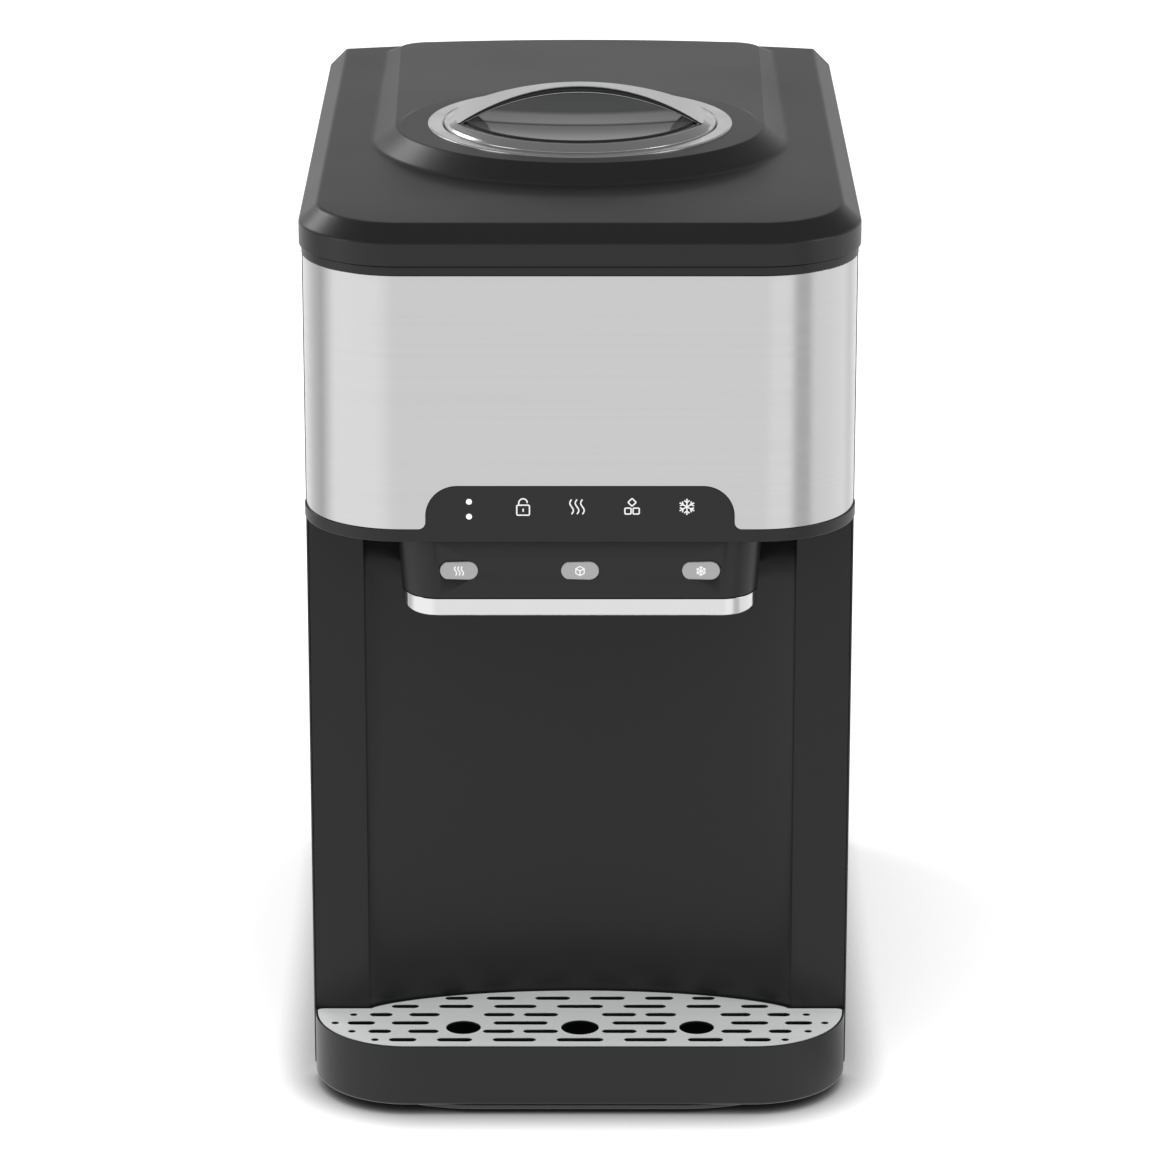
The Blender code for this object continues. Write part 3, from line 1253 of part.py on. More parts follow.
def make_grille():
    """The slotted steel plate on the tray, with a round hole under each outlet."""
    rows = [FRONT + ROW_FRONT_SETBACK + ROW_PITCH * number for number in range(6)]
    outlines = [tray_outline(TRAY_RIM + GAP)]
    outlines += row_slots(rows[0], WIDE_ROW_SHARES, WIDE_ROW_DOT_SHARE, CENTRE_SLOT_SHARE)
    outlines += row_slots(rows[4], WIDE_ROW_SHARES, centre_share=CENTRE_SLOT_SHARE)
    for y in (rows[1], rows[3]):
        outlines += row_slots(y, SPLIT_ROW_SHARES, SPLIT_ROW_DOT_SHARE)
    outlines += row_slots(rows[2], HOLE_ROW_SHARES, HOLE_ROW_DOT_SHARE)
    outlines += row_slots(rows[5], REAR_ROW_SHARES)
    for x, radius in ((-OUTLET_X, SIDE_HOLE_R), (0.0, CENTRE_HOLE_R), (OUTLET_X, SIDE_HOLE_R)):
        outlines.append(circle((x, OUTLET_Y), radius, ROUND_STEPS))
    slab("drip_grille", outlines, TRAY_TOP - GRILLE_T, TRAY_TOP, "grille_steel")


def make_deck():
    """The deck over the niche and the cooling parts, cut for the chute, the spouts and the tank ports."""
    half = SIDE_X - DECK_SIDE_GAP
    inset = DECK_FRONT_INSET
    outline = front_corners(half, FACE + inset, FRONT_CORNER_R - inset)
    rear = REAR_EDGE - DECK_REAR_INSET
    outline += [(-half, rear), (half, rear)]
    deck = slab("deck", [outline], DECK_BOTTOM, DECK_TOP, "white_plastic")
    cut(deck, chute_cutter("deck_chute_hole", CHUTE_WALL + GAP, DECK_BOTTOM, DECK_TOP))
    holes = [(-OUTLET_X, OUTLET_Y, SPOUT_R), (OUTLET_X, OUTLET_Y, SPOUT_R)]
    holes += [(*tank_centre(-1), PORT_R), (*tank_centre(1), PORT_R), (*feed_port(), PORT_R)]
    for number, (x, y, radius) in enumerate(holes):
        start = (x, y, DECK_BOTTOM - OVERRUN)
        end = (x, y, DECK_TOP + OVERRUN)
        cut(deck, rod(f"deck_hole_{number}", start, end, radius + GAP, steps=ROUND_STEPS))


def make_rear_frame():
    """The frame that carries the rear of the deck: two posts on the base plate and a bar."""
    outer = SIDE_X - FRAME_SIDE_GAP
    y = REAR - FRAME_REAR_INSET
    top = DECK_BOTTOM - GAP
    frame = box(
        "rear_frame",
        (-outer, y - FRAME_POST, top - FRAME_BAR_HEIGHT),
        (outer, y, top),
        "painted_metal",
    )
    for side in (-1, 1):
        near, far = sorted((side * outer, side * (outer - FRAME_POST)))
        high = top - FRAME_BAR_HEIGHT / 2
        post = box(f"frame_post_{side}", (near, y - FRAME_POST, STAND_Z), (far, y, high))
        join(frame, post)


def tank_centre(side):
    """Where a tank stands in plan: the hot one on the left, the cold one on the right."""
    radius = HOT_TANK_R if side < 0 else COLD_TANK_R
    return (side * (SIDE_X - TANK_GAP - radius), LINER_BACK + TANK_GAP + radius)


def feed_port():
    """Where the cold tank's inlet port stands in plan."""
    x, y = tank_centre(1)
    return (x, y + COLD_TANK_R * 2 / 3)


def make_tanks():
    """The hot and the cold tank, hung under the deck with their ports through it."""
    for name, side, radius, height in (
        ("hot_tank", -1, HOT_TANK_R, HOT_TANK_HEIGHT),
        ("cold_tank", 1, COLD_TANK_R, COLD_TANK_HEIGHT),
    ):
        top = DECK_BOTTOM - GAP
        bottom = top - height
        wall = TANK_WALL
        rounding = radius / 5
        port_top = DECK_TOP + PORT_RISE
        profile = [(PORT_R, port_top), (PORT_R, top), (radius - rounding, top), (radius, top - rounding)]
        profile += [(radius, bottom + rounding), (radius - rounding, bottom), (0, bottom), (0, bottom + wall)]
        profile += [(radius - rounding - wall, bottom + wall), (radius - wall, bottom + rounding + wall)]
        profile += [(radius - wall, top - rounding - wall), (radius - rounding - wall, top - wall)]
        profile += [(PORT_BORE_R, top - wall), (PORT_BORE_R, port_top)]
        x, y = tank_centre(side)
        tank = turned(name, profile, (x, y, 0), "tank_steel", closed=True)
        if side > 0:
            port_x, port_y = feed_port()
            low = (port_x, port_y, top - wall / 2)
            join(tank, rod("feed_port_body", low, (port_x, port_y, port_top), PORT_R, steps=ROUND_STEPS))
            start = (port_x, port_y, top - wall - OVERRUN)
            bore_end = (port_x, port_y, port_top + OVERRUN)
            cut(tank, rod("feed_port_bore", start, bore_end, PORT_BORE_R, steps=SMALL_STEPS))


def valve_centre_y():
    """Where the valves stand: behind the outlets they feed."""
    return OUTLET_Y + VALVE_DEPTH / 2 - SPOUT_R - GAP


def valve_x():
    """How far each valve's middle stands from the machine's middle: clear of the ice bucket."""
    return OUTLET_X - SPOUT_R - GAP + VALVE_WIDTH / 2


def make_valves():
    """A solenoid valve on top of each spout."""
    y = valve_centre_y()
    low_z = DECK_STAND_Z + GAP
    for name, side in (("hot_valve", -1), ("cold_valve", 1)):
        middle = side * valve_x()
        low = (middle - VALVE_WIDTH / 2, y - VALVE_DEPTH / 2, low_z)
        high = (middle + VALVE_WIDTH / 2, y + VALVE_DEPTH / 2, low_z + VALVE_HEIGHT)
        body = box(name, low, high, "white_plastic")
        coil_low = (middle, y, low_z + VALVE_HEIGHT - VALVE_HEIGHT / 8)
        coil_high = (middle, y, low_z + VALVE_HEIGHT + VALVE_HEIGHT / 2)
        join(body, rod(f"{name}_coil", coil_low, coil_high, VALVE_WIDTH / 3, steps=ROUND_STEPS))


def make_hoses():
    """The hoses from each tank to its valve, and from the bottle seat to the cold tank."""
    port_top = DECK_TOP + PORT_RISE + GAP
    valve_back = valve_centre_y() + VALVE_DEPTH / 2 + GAP
    valve_z = DECK_STAND_Z + VALVE_HEIGHT / 2
    stub = 2 * HOSE_R
    rise = PORT_RISE + HOSE_R
    for name, side in (("hot_hose", -1), ("cold_hose", 1)):
        x, y = tank_centre(side)
        start = Vector((x, y, port_top))
        end = Vector((side * valve_x(), valve_back, valve_z))
        middle = Vector(((x + end.x) / 2, (y + valve_back) / 2, port_top + rise))
        route = [start, start + Vector((0, 0, stub)), middle, end + Vector((0, stub, 0)), end]
        hose(name, route, HOSE_R, "clear_tube")
    x, y = feed_port()
    nozzle_z = FLANGE_TOP - SEAT_DEPTH - SEAT_WALL - NOZZLE_LENGTH - GAP
    start = Vector((0, RING_Y, nozzle_z))
    end = Vector((x, y, port_top))
    side_x = BUCKET_X + 3 * HOSE_R
    route = [start, start - Vector((0, 0, HOSE_R)), Vector((side_x, RING_Y, nozzle_z - 2 * stub))]
    route += [Vector((x, y, (nozzle_z + port_top) / 2)), end + Vector((0, 0, stub)), end]
    hose("feed_hose", route, HOSE_R, "clear_tube")


def make_bucket():
    """The ice bucket, open at the top, with a hole over the chute and a lower rear wall."""
    low = Vector((-BUCKET_X, BUCKET_FRONT, DECK_STAND_Z))
    high = Vector((BUCKET_X, BUCKET_REAR, DECK_STAND_Z + BUCKET_HEIGHT))
    bucket = box("ice_bucket", low, high, "white_plastic")
    wall = Vector((BUCKET_WALL, BUCKET_WALL, BUCKET_WALL))
    inner_high = Vector((high.x - BUCKET_WALL, high.y - BUCKET_WALL, high.z + OVERRUN))
    cut(bucket, box("bucket_hollow", low + wall, inner_high))
    rear_low = (low.x - OVERRUN, high.y - BUCKET_WALL - OVERRUN, low.z + BUCKET_REAR_HEIGHT)
    cut(bucket, box("bucket_rear_notch", rear_low, high + wall))
    cut(bucket, chute_cutter("bucket_hole", 0.0, low.z, low.z + BUCKET_WALL))
    for name, y in (("auger_front_seat", BUCKET_FRONT), ("auger_rear_seat", BUCKET_REAR - BUCKET_WALL)):
        ends = ((0, y - OVERRUN, AUGER_Z), (0, y + BUCKET_WALL + OVERRUN, AUGER_Z))
        cut(bucket, rod(name, *ends, AUGER_SHAFT_R + GAP))


def make_auger():
    """The screw that pushes ice to the chute: a shaft with one helical blade."""
    start = (0, BUCKET_FRONT, AUGER_Z)
    shaft = rod("auger", start, (0, BUCKET_REAR + GEARBOX_LENGTH / 4, AUGER_Z), AUGER_SHAFT_R, "tank_steel")
    blade_start = CHUTE_Y + CHUTE_DEPTH / 2
    blade_end = BUCKET_REAR - BUCKET_WALL - 2 * OVERRUN
    turns = max(1, round((blade_end - blade_start) / AUGER_PITCH))
    shape = bmesh.new()
    inner = AUGER_SHAFT_R / 2
    rings = []
    steps = turns * AUGER_STEPS
    run = (blade_end - blade_start - AUGER_BLADE_T) / steps
    for step in range(steps + 1):
        angle = 2 * math.pi * step / AUGER_STEPS
        y = blade_start + run * step
        across = (math.cos(angle), math.sin(angle))
        ring = []
        for radius, offset in ((inner, 0), (AUGER_R, 0), (AUGER_R, AUGER_BLADE_T), (inner, AUGER_BLADE_T)):
            ring.append(shape.verts.new((radius * across[0], y + offset, AUGER_Z + radius * across[1])))
        rings.append(ring)
    for first, second in zip(rings, rings[1:]):
        for index in range(4):
            after = (index + 1) % 4
            shape.faces.new((first[index], first[after], second[after], second[index]))
    shape.faces.new(rings[0][::-1])
    shape.faces.new(rings[-1])
    bmesh.ops.recalc_face_normals(shape, faces=shape.faces)
    join(shaft, place(mesh_of(shape, "auger_blade"), "auger_blade"))


def make_auger_motor():
    """The auger's gearbox and motor, on a foot behind the bucket."""
    front = BUCKET_REAR + GAP
    y = front + GEARBOX_LENGTH
    ends = ((0, front, AUGER_Z), (0, y, AUGER_Z))
    gearbox = rod("auger_motor", *ends, GEARBOX_R, "grey_plastic", steps=ROUND_STEPS)
    can = ((0, y - BUCKET_WALL, AUGER_Z), (0, y + MOTOR_LENGTH, AUGER_Z))
    join(gearbox, rod("motor_can", *can, MOTOR_R, steps=ROUND_STEPS))
    foot_low = (-MOTOR_R, front, DECK_STAND_Z)
    join(gearbox, box("motor_foot", foot_low, (MOTOR_R, y, AUGER_Z)))
    socket = ((0, front - OVERRUN, AUGER_Z), (0, front + GEARBOX_LENGTH / 4 + GAP, AUGER_Z))
    cut(gearbox, rod("motor_socket", *socket, AUGER_SHAFT_R + GAP))


def make_ice_frame():
    """Two cheeks on the deck, with the slide that ice runs down to the bucket between them."""
    inner = BUCKET_X - CHEEK_T
    front = ICE_FRAME_FRONT
    frame = None
    for name, near, far in (("ice_frame", -BUCKET_X, -inner), ("right_cheek", inner, BUCKET_X)):
        low = (near, front, DECK_STAND_Z)
        high = (far, ICE_FRAME_REAR, DECK_STAND_Z + CHEEK_HEIGHT)
        if frame is None:
            frame = box(name, low, high, "white_plastic")
        else:
            join(frame, box(name, low, high))
    high_z = TROUGH_Z - TROUGH_R - TROUGH_T - SLIDE_T - 2 * GAP
    low_z = high_z - SLIDE_FALL
    slide = [(front - SLIDE_REACH, low_z), (ICE_FRAME_REAR, high_z)]
    slide += [(ICE_FRAME_REAR, high_z + SLIDE_T), (front - SLIDE_REACH, low_z + SLIDE_T)]
    overlap = CHEEK_T / 2
    join(frame, slab("ice_slide", [slide], -inner - overlap, inner + overlap, axis="X"))
    clearance = BUCKET_WALL + GAP
    for side in (-1, 1):
        near, far = sorted((side * (inner - clearance), side * (BUCKET_X + OVERRUN)))
        notch_low = (near, front - SLIDE_REACH - OVERRUN, low_z - OVERRUN)
        cut(frame, box(f"slide_notch_{side}", notch_low, (far, front, high_z + OVERRUN)))
    reach = BUCKET_X + OVERRUN
    ends = (-reach, TROUGH_Y, TROUGH_Z), (reach, TROUGH_Y, TROUGH_Z)
    cut(frame, rod("journal_holes", *ends, JOURNAL_R + GAP))


def trough_outline(radius_out, radius_in):
    """The trough's section: part of a ring, open at the top, as (y, z) points."""
    start = 270 - TROUGH_HALF_ANGLE
    end = 270 + TROUGH_HALF_ANGLE
    centre = (TROUGH_Y, TROUGH_Z)
    points = arc(centre, radius_out, start, end, ROUND_STEPS // 2)
    if radius_in:
        points += arc(centre, radius_in, end, start, ROUND_STEPS // 2)
    else:
        points.append(centre)
    return points


def make_trough():
    """The water trough that the cold fingers dip in: it turns about its own centre to empty."""
    outer = BUCKET_X - CHEEK_T - 2 * GAP
    trough = slab("water_trough", [trough_outline(TROUGH_R, 0.0)], -outer, outer, "white_plastic", axis="X")
    inner = outer - TROUGH_T
    cut(trough, slab("trough_hollow", [hollow_outline()], -inner, inner, axis="X"))
    for side in (-1, 1):
        start = (side * inner, TROUGH_Y, TROUGH_Z)
        end = (side * BUCKET_X, TROUGH_Y, TROUGH_Z)
        join(trough, rod(f"journal_{side}", start, end, JOURNAL_R))
    hinge_at(trough, (0, TROUGH_Y, TROUGH_Z))


def hollow_outline():
    """The trough's inner space, run past its open top."""
    centre = (TROUGH_Y, TROUGH_Z)
    start = 270 - TROUGH_MOUTH_ANGLE
    end = 270 + TROUGH_MOUTH_ANGLE
    points = arc(centre, TROUGH_R - TROUGH_T, start, end, ROUND_STEPS // 2)
    top = TROUGH_Z + JOURNAL_R
    return points + [(TROUGH_Y + TROUGH_R, top), (TROUGH_Y - TROUGH_R, top)]


def make_trough_motor():
    """The small gear motor that turns the trough, on the outside of the left cheek."""
    start = Vector((-BUCKET_X - GAP, TROUGH_Y, TROUGH_Z))
    middle = start - Vector((GEARBOX_LENGTH / 2, 0, 0))
    motor = rod("trough_motor", start, middle, GEARBOX_R, "grey_plastic", steps=ROUND_STEPS)
    can = (middle + Vector((BUCKET_WALL, 0, 0)), middle - Vector((MOTOR_LENGTH / 2, 0, 0)))
    join(motor, rod("trough_motor_can", *can, MOTOR_R, steps=ROUND_STEPS))


def make_evaporator():
    """The cold plate with its fingers, hung from a beam across the two cheeks."""
    half = BUCKET_X - CHEEK_T - 2 * GAP - TROUGH_T - 2 * GAP - FINGER_R / 2
    low_z = TROUGH_Z + PLATE_LIFT
    low = (-half, TROUGH_Y - PLATE_HALF_DEPTH, low_z)
    plate = box("evaporator", low, (half, TROUGH_Y + PLATE_HALF_DEPTH, low_z + PLATE_T), "aluminium")
    for row in range(FINGER_ROWS):
        for column in range(FINGER_COLUMNS):
            y = TROUGH_Y + (row - (FINGER_ROWS - 1) / 2) * FINGER_ROW_PITCH
            x = (column - (FINGER_COLUMNS - 1) / 2) * 2 * (half - FINGER_R) / FINGER_COLUMNS
            ends = ((x, y, low_z + PLATE_T / 2), (x, y, low_z - FINGER_LENGTH))
            join(plate, rod(f"finger_{row}_{column}", *ends, FINGER_R))
    beam_low = DECK_STAND_Z + CHEEK_HEIGHT + GAP
    neck_y = TROUGH_Y - PLATE_HALF_DEPTH / 2
    neck_low = (-half / 2, neck_y - NECK_DEPTH / 2, low_z + PLATE_T / 2)
    neck_high = (half / 2, neck_y + NECK_DEPTH / 2, beam_low + BEAM_HEIGHT / 2)
    join(plate, box("evaporator_neck", neck_low, neck_high))
    beam_start = (-BUCKET_X, neck_y - NECK_DEPTH, beam_low)
    beam_end = (BUCKET_X, neck_y + NECK_DEPTH, beam_low + BEAM_HEIGHT)
    join(plate, box("evaporator_beam", beam_start, beam_end))


def compressor_centre():
    """Where the compressor stands in plan."""
    return (COMPRESSOR_SIDE_GAP + COMPRESSOR_R - SIDE_X, REAR - COMPRESSOR_REAR_INSET)


def make_compressor():
    """The sealed compressor on its mounting plate and rubber-sleeved feet."""
    x, y = compressor_centre()
    low = STAND_Z + COMPRESSOR_FOOT_LIFT
    high = low + COMPRESSOR_HEIGHT
    profile = [(0, high), (COMPRESSOR_R / 2, high - COMPRESSOR_DOME / 5)]
    profile.append((COMPRESSOR_R, high - COMPRESSOR_DOME))
    profile += [(COMPRESSOR_R, low + COMPRESSOR_DOME), (COMPRESSOR_R * 2 / 3, low), (0, low)]
    can = turned("compressor", profile, (x, y, 0), "painted_metal")
    reach = COMPRESSOR_R - GAP
    plate = box("mount_plate", (x - reach, y - reach, low), (x + reach, y + reach, low + MOUNT_PLATE_T))
    join(can, plate)
    inset = reach - GROMMET_R
    for side_x in (-1, 1):
        for side_y in (-1, 1):
            foot_x = x + side_x * inset
            foot_y = y + side_y * inset
            start = (foot_x, foot_y, STAND_Z)
            end = (foot_x, foot_y, low + MOUNT_PLATE_T / 2)
            join(can, rod(f"grommet_{side_x}_{side_y}", start, end, GROMMET_R))


def make_condenser():
    """The finned condenser behind the vents, its fins tied by two headers."""
    half = CONDENSER_X
    low_z = STAND_Z
    core = box(
        "condenser",
        (-half, CONDENSER_FRONT, low_z),
        (HEADER_WIDTH - half, CONDENSER_REAR, low_z + CONDENSER_HEIGHT),
        "aluminium",
    )
    far_low = (half - HEADER_WIDTH, CONDENSER_FRONT, low_z)
    join(core, box("right_header", far_low, (half, CONDENSER_REAR, low_z + CONDENSER_HEIGHT)))
    pitch = (CONDENSER_HEIGHT - FIN_T) / (CONDENSER_FINS - 1)
    inner = half - HEADER_WIDTH / 2
    for number in range(CONDENSER_FINS):
        z = low_z + pitch * number
        inset = FIN_T if number in (0, CONDENSER_FINS - 1) else FIN_T / 2
        z += FIN_T if number == 0 else 0.0
        z -= FIN_T if number == CONDENSER_FINS - 1 else 0.0
        fin = ((-inner, CONDENSER_FRONT + inset, z), (inner, CONDENSER_REAR - inset, z + FIN_T))
        join(core, box(f"fin_{number}", *fin))


def make_fan_shroud():
    """The plate in front of the condenser, with the fan's round opening and three motor arms."""
    half = CONDENSER_X
    opening = circle((0, FAN_Z), FAN_R + FAN_TIP_GAP, ROUND_STEPS)
    plate = rectangle((-half, STAND_Z), (half, STAND_Z + CONDENSER_HEIGHT))
    shroud = slab("fan_shroud", [plate, opening], SHROUD_FRONT, SHROUD_REAR, "black_plastic", axis="Y")
    seat_front = motor_seat_y()
    rim = FAN_R + FAN_TIP_GAP + FAN_ARM_WIDTH / 2
    for number in range(3):
        angle = math.radians(90 + 120 * number)
        across = Vector((math.cos(angle), 0, math.sin(angle)))
        outer = Vector((0, 0, FAN_Z)) + across * rim
        start = Vector((outer.x, SHROUD_FRONT + SHROUD_T / 2, outer.z))
        end = Vector((outer.x, seat_front - SHROUD_T / 2, outer.z))
        join(shroud, rod(f"fan_post_{number}", start, end, FAN_ARM_WIDTH / 3))
        inner = Vector((0, seat_front - SHROUD_T / 2, FAN_Z)) + across * FAN_MOTOR_R / 2
        join(shroud, rod(f"fan_arm_{number}", end + across * FAN_ARM_WIDTH / 4, inner, SHROUD_T / 2 - GAP))
    seat = ((0, seat_front - SHROUD_T, FAN_Z), (0, seat_front, FAN_Z))
    join(shroud, rod("fan_seat", *seat, FAN_MOTOR_R, steps=ROUND_STEPS))
    bore = ((0, seat_front - SHROUD_T - OVERRUN, FAN_Z), (0, seat_front + OVERRUN, FAN_Z))
    cut(shroud, rod("fan_seat_bore", *bore, FAN_SHAFT_R + GAP))


def motor_seat_y():
    """The face of the shroud's seat that the fan turns in front of."""
    return SHROUD_FRONT - FAN_DEPTH - 2 * OVERRUN


def make_fan():
    """The fan: a hub and pitched blades on a shaft, turned by a motor in front of the seat."""
    seat_y = motor_seat_y()
    hub_start = seat_y + OVERRUN
    hub_end = hub_start + FAN_DEPTH
    hub = ((0, hub_start, FAN_Z), (0, hub_end, FAN_Z))
    blades = rod("fan_blades", *hub, FAN_HUB_R, "grey_plastic", steps=ROUND_STEPS)
    shaft_start = (0, seat_y - SHROUD_T - FAN_SHAFT_R, FAN_Z)
    join(blades, rod("fan_shaft", shaft_start, (0, hub_start + OVERRUN, FAN_Z), FAN_SHAFT_R))
    middle = (hub_start + hub_end) / 2
    half_depth = FAN_DEPTH * 2 / 5
    for number in range(FAN_BLADES):
        turn = Matrix.Rotation(2 * math.pi * number / FAN_BLADES, 4, "Y")
        shape = bmesh.new()
        length = FAN_R - FAN_HUB_R / 2
        size = Matrix.Diagonal((length, FAN_BLADE_T, 2 * half_depth, 1))
        pitch = Matrix.Rotation(math.radians(BLADE_PITCH), 4, "X")
        out = Matrix.Translation((FAN_HUB_R / 2 + length / 2, 0, 0))
        bmesh.ops.create_cube(shape, size=1, matrix=turn @ out @ pitch @ size)
        bmesh.ops.translate(shape, verts=shape.verts, vec=(0, middle, FAN_Z))
        join(blades, place(mesh_of(shape, f"blade_{number}"), f"blade_{number}"))
    motor_end = seat_y - SHROUD_T - GAP
    motor_start = motor_end - FAN_MOTOR_LENGTH
    can = ((0, motor_start, FAN_Z), (0, motor_end, FAN_Z))
    motor = rod("fan_motor", *can, FAN_MOTOR_R, "painted_metal", steps=ROUND_STEPS)
    socket = ((0, motor_end - FAN_SHAFT_R - GAP, FAN_Z), (0, motor_end + OVERRUN, FAN_Z))
    cut(motor, rod("fan_motor_socket", *socket, FAN_SHAFT_R + GAP))


def make_pump():
    """The pump that fills the trough, beside the right cheek."""
    x = BUCKET_X + PUMP_SIDE_GAP + PUMP_R
    y = TROUGH_Y
    low = DECK_STAND_Z
    high = low + PUMP_HEIGHT
    body = rod("water_pump", (x, y, low), (x, y, high), PUMP_R, "black_plastic", steps=ROUND_STEPS)
    outlet = ((x, y, low + PUMP_HEIGHT - PUMP_R / 4), (x, y, low + PUMP_HEIGHT + PUMP_R / 2))
    join(body, rod("pump_outlet", *outlet, HOSE_R))


def make_fill_hose():
    """The hose from the pump up the cheek to the end of the trough."""
    x = BUCKET_X + PUMP_SIDE_GAP + PUMP_R
    start = Vector((x, TROUGH_Y, DECK_STAND_Z + PUMP_HEIGHT + PUMP_R / 2 + GAP))
    top = DECK_STAND_Z + CHEEK_HEIGHT + HOSE_R + FILL_HOSE_LIFT
    y = TROUGH_Y + PLATE_HALF_DEPTH
    high = Vector((x - PUMP_R / 2, y, top + HOSE_R))
    cheek = Vector((BUCKET_X - CHEEK_T / 2, y, top))
    end = Vector((BUCKET_X - CHEEK_T - 3 * HOSE_R, y, top))
    hose("fill_hose", [start, start + Vector((0, 0, PUMP_R)), high, cheek, end], HOSE_R, "clear_tube")


def make_refrigerant_line():
    """The copper line from the compressor to the condenser."""
    x, y = compressor_centre()
    top = STAND_Z + COMPRESSOR_FOOT_LIFT + COMPRESSOR_HEIGHT + GAP
    start = Vector((x, y, top))
    header_x = HEADER_WIDTH / 2 - CONDENSER_X
    end = Vector((header_x, (CONDENSER_FRONT + CONDENSER_REAR) / 2, STAND_Z + CONDENSER_HEIGHT + GAP))
    rise = Vector((0, 0, 4 * LINE_R))
    high = (start + end) / 2 + 3 * rise
    hose("refrigerant_line", [start, start + rise, high, end + rise, end], LINE_R, "copper")


def make_power_board():
    """The power board, upright on the deck behind the ice frame."""
    y = REAR - POWER_BOARD_REAR_INSET
    half = POWER_BOARD_HALF_WIDTH
    low = (-half, y, DECK_STAND_Z)
    board = box("power_board", low, (half, y + BOARD_T, DECK_STAND_Z + POWER_BOARD_HEIGHT), "board_green")
    unit = half / 3
    for number, x in enumerate((-2 * unit, 0.0, 2 * unit)):
        block_low = (x - unit / 2, y + BOARD_T / 2, DECK_STAND_Z + unit)
        block_high = (x + unit / 2, y + BOARD_T + BLOCK_T, DECK_STAND_Z + (2 + number / 2) * unit)
        join(board, box(f"board_block_{number}", block_low, block_high))


def build():
    """Make every piece, from the base up."""
    clear_scene()
    make_base()
    make_feet()
    make_side_panels()
    make_rear_panel()
    make_power_inlet()
    make_drain()
    make_liner()
    make_steel_front()
    make_front_housing()
    make_trim()
    make_panel_lights()
    make_touch_board()
    make_upper_frame()
    make_top_cover()
    make_bottle_seat()
    make_dust_cover()
    make_head()
    make_buttons()
    make_button_board()
    make_chrome_band()
    make_spouts()
    make_chute()
    make_flap()
    make_tray()
    make_grille()
    make_deck()
    make_rear_frame()
    make_tanks()
    make_valves()
    make_hoses()
    make_bucket()
    make_auger()
    make_auger_motor()
    make_ice_frame()
    make_trough()
    make_trough_motor()
    make_evaporator()
    make_compressor()
    make_condenser()
    make_fan_shroud()
    make_fan()
    make_pump()
    make_fill_hose()
    make_refrigerant_line()
    make_power_board()


build()
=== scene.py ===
"""A countertop ice maker with a water dispenser: its visible pieces, their finishes, a studio and a camera."""
import logging
import math
from dataclasses import dataclass
from enum import Enum
from typing import Callable, Optional, Sequence, Union

import bmesh
import bpy
from mathutils import Matrix, Vector


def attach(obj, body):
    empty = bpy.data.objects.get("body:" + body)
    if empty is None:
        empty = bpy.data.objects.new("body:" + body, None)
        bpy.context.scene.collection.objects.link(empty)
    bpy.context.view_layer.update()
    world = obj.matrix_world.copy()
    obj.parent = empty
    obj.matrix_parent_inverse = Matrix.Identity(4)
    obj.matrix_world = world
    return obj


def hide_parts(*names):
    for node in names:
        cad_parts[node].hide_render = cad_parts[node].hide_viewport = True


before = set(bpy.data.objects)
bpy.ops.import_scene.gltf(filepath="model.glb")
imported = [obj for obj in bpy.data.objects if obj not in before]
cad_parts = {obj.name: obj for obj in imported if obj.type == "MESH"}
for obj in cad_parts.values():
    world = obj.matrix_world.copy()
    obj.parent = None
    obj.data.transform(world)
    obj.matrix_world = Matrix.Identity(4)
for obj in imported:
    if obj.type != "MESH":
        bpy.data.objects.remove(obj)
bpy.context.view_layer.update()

log = logging.getLogger("ice_maker")

Pair = tuple[float, float]
Triple = tuple[float, float, float]
Ring = list[Vector]
Socket = bpy.types.NodeSocket
Tree = bpy.types.NodeTree
Node = bpy.types.Node
Mesh = bmesh.types.BMesh
Vert = bmesh.types.BMVert
Face = bmesh.types.BMFace

NOISE_MIDDLE = (0.3, 0.7)


class Part(Enum):
    """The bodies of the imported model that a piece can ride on."""

    HOUSING = "housing"
    DUST_COVER = "dust_cover"
    TRAY = "tray"
    GRILLE = "grille"
    HOT_KEY = "hot_key"
    ICE_KEY = "ice_key"
    COLD_KEY = "cold_key"
    FLAP = "flap"
    DRAIN_PLUG = "drain_plug"


class Axis(Enum):
    """The axis that a turned piece goes round."""

    UPRIGHT = (0.0, 0.0, 1.0)
    REARWARD = (0.0, 1.0, 0.0)


def feed(tree: Tree, node: Node, inputs: dict) -> None:
    """Give a node's inputs their values, or link them to other nodes' outputs."""
    for socket, value in inputs.items():
        if isinstance(value, Socket):
            tree.links.new(value, node.inputs[socket])
        else:
            node.inputs[socket].default_value = value


def add(tree: Tree, kind: str, inputs: dict, **settings: str) -> Node:
    """Add a shader node."""
    node = tree.nodes.new(f"ShaderNode{kind}")
    for name, value in settings.items():
        setattr(node, name, value)
    feed(tree, node, inputs)
    return node


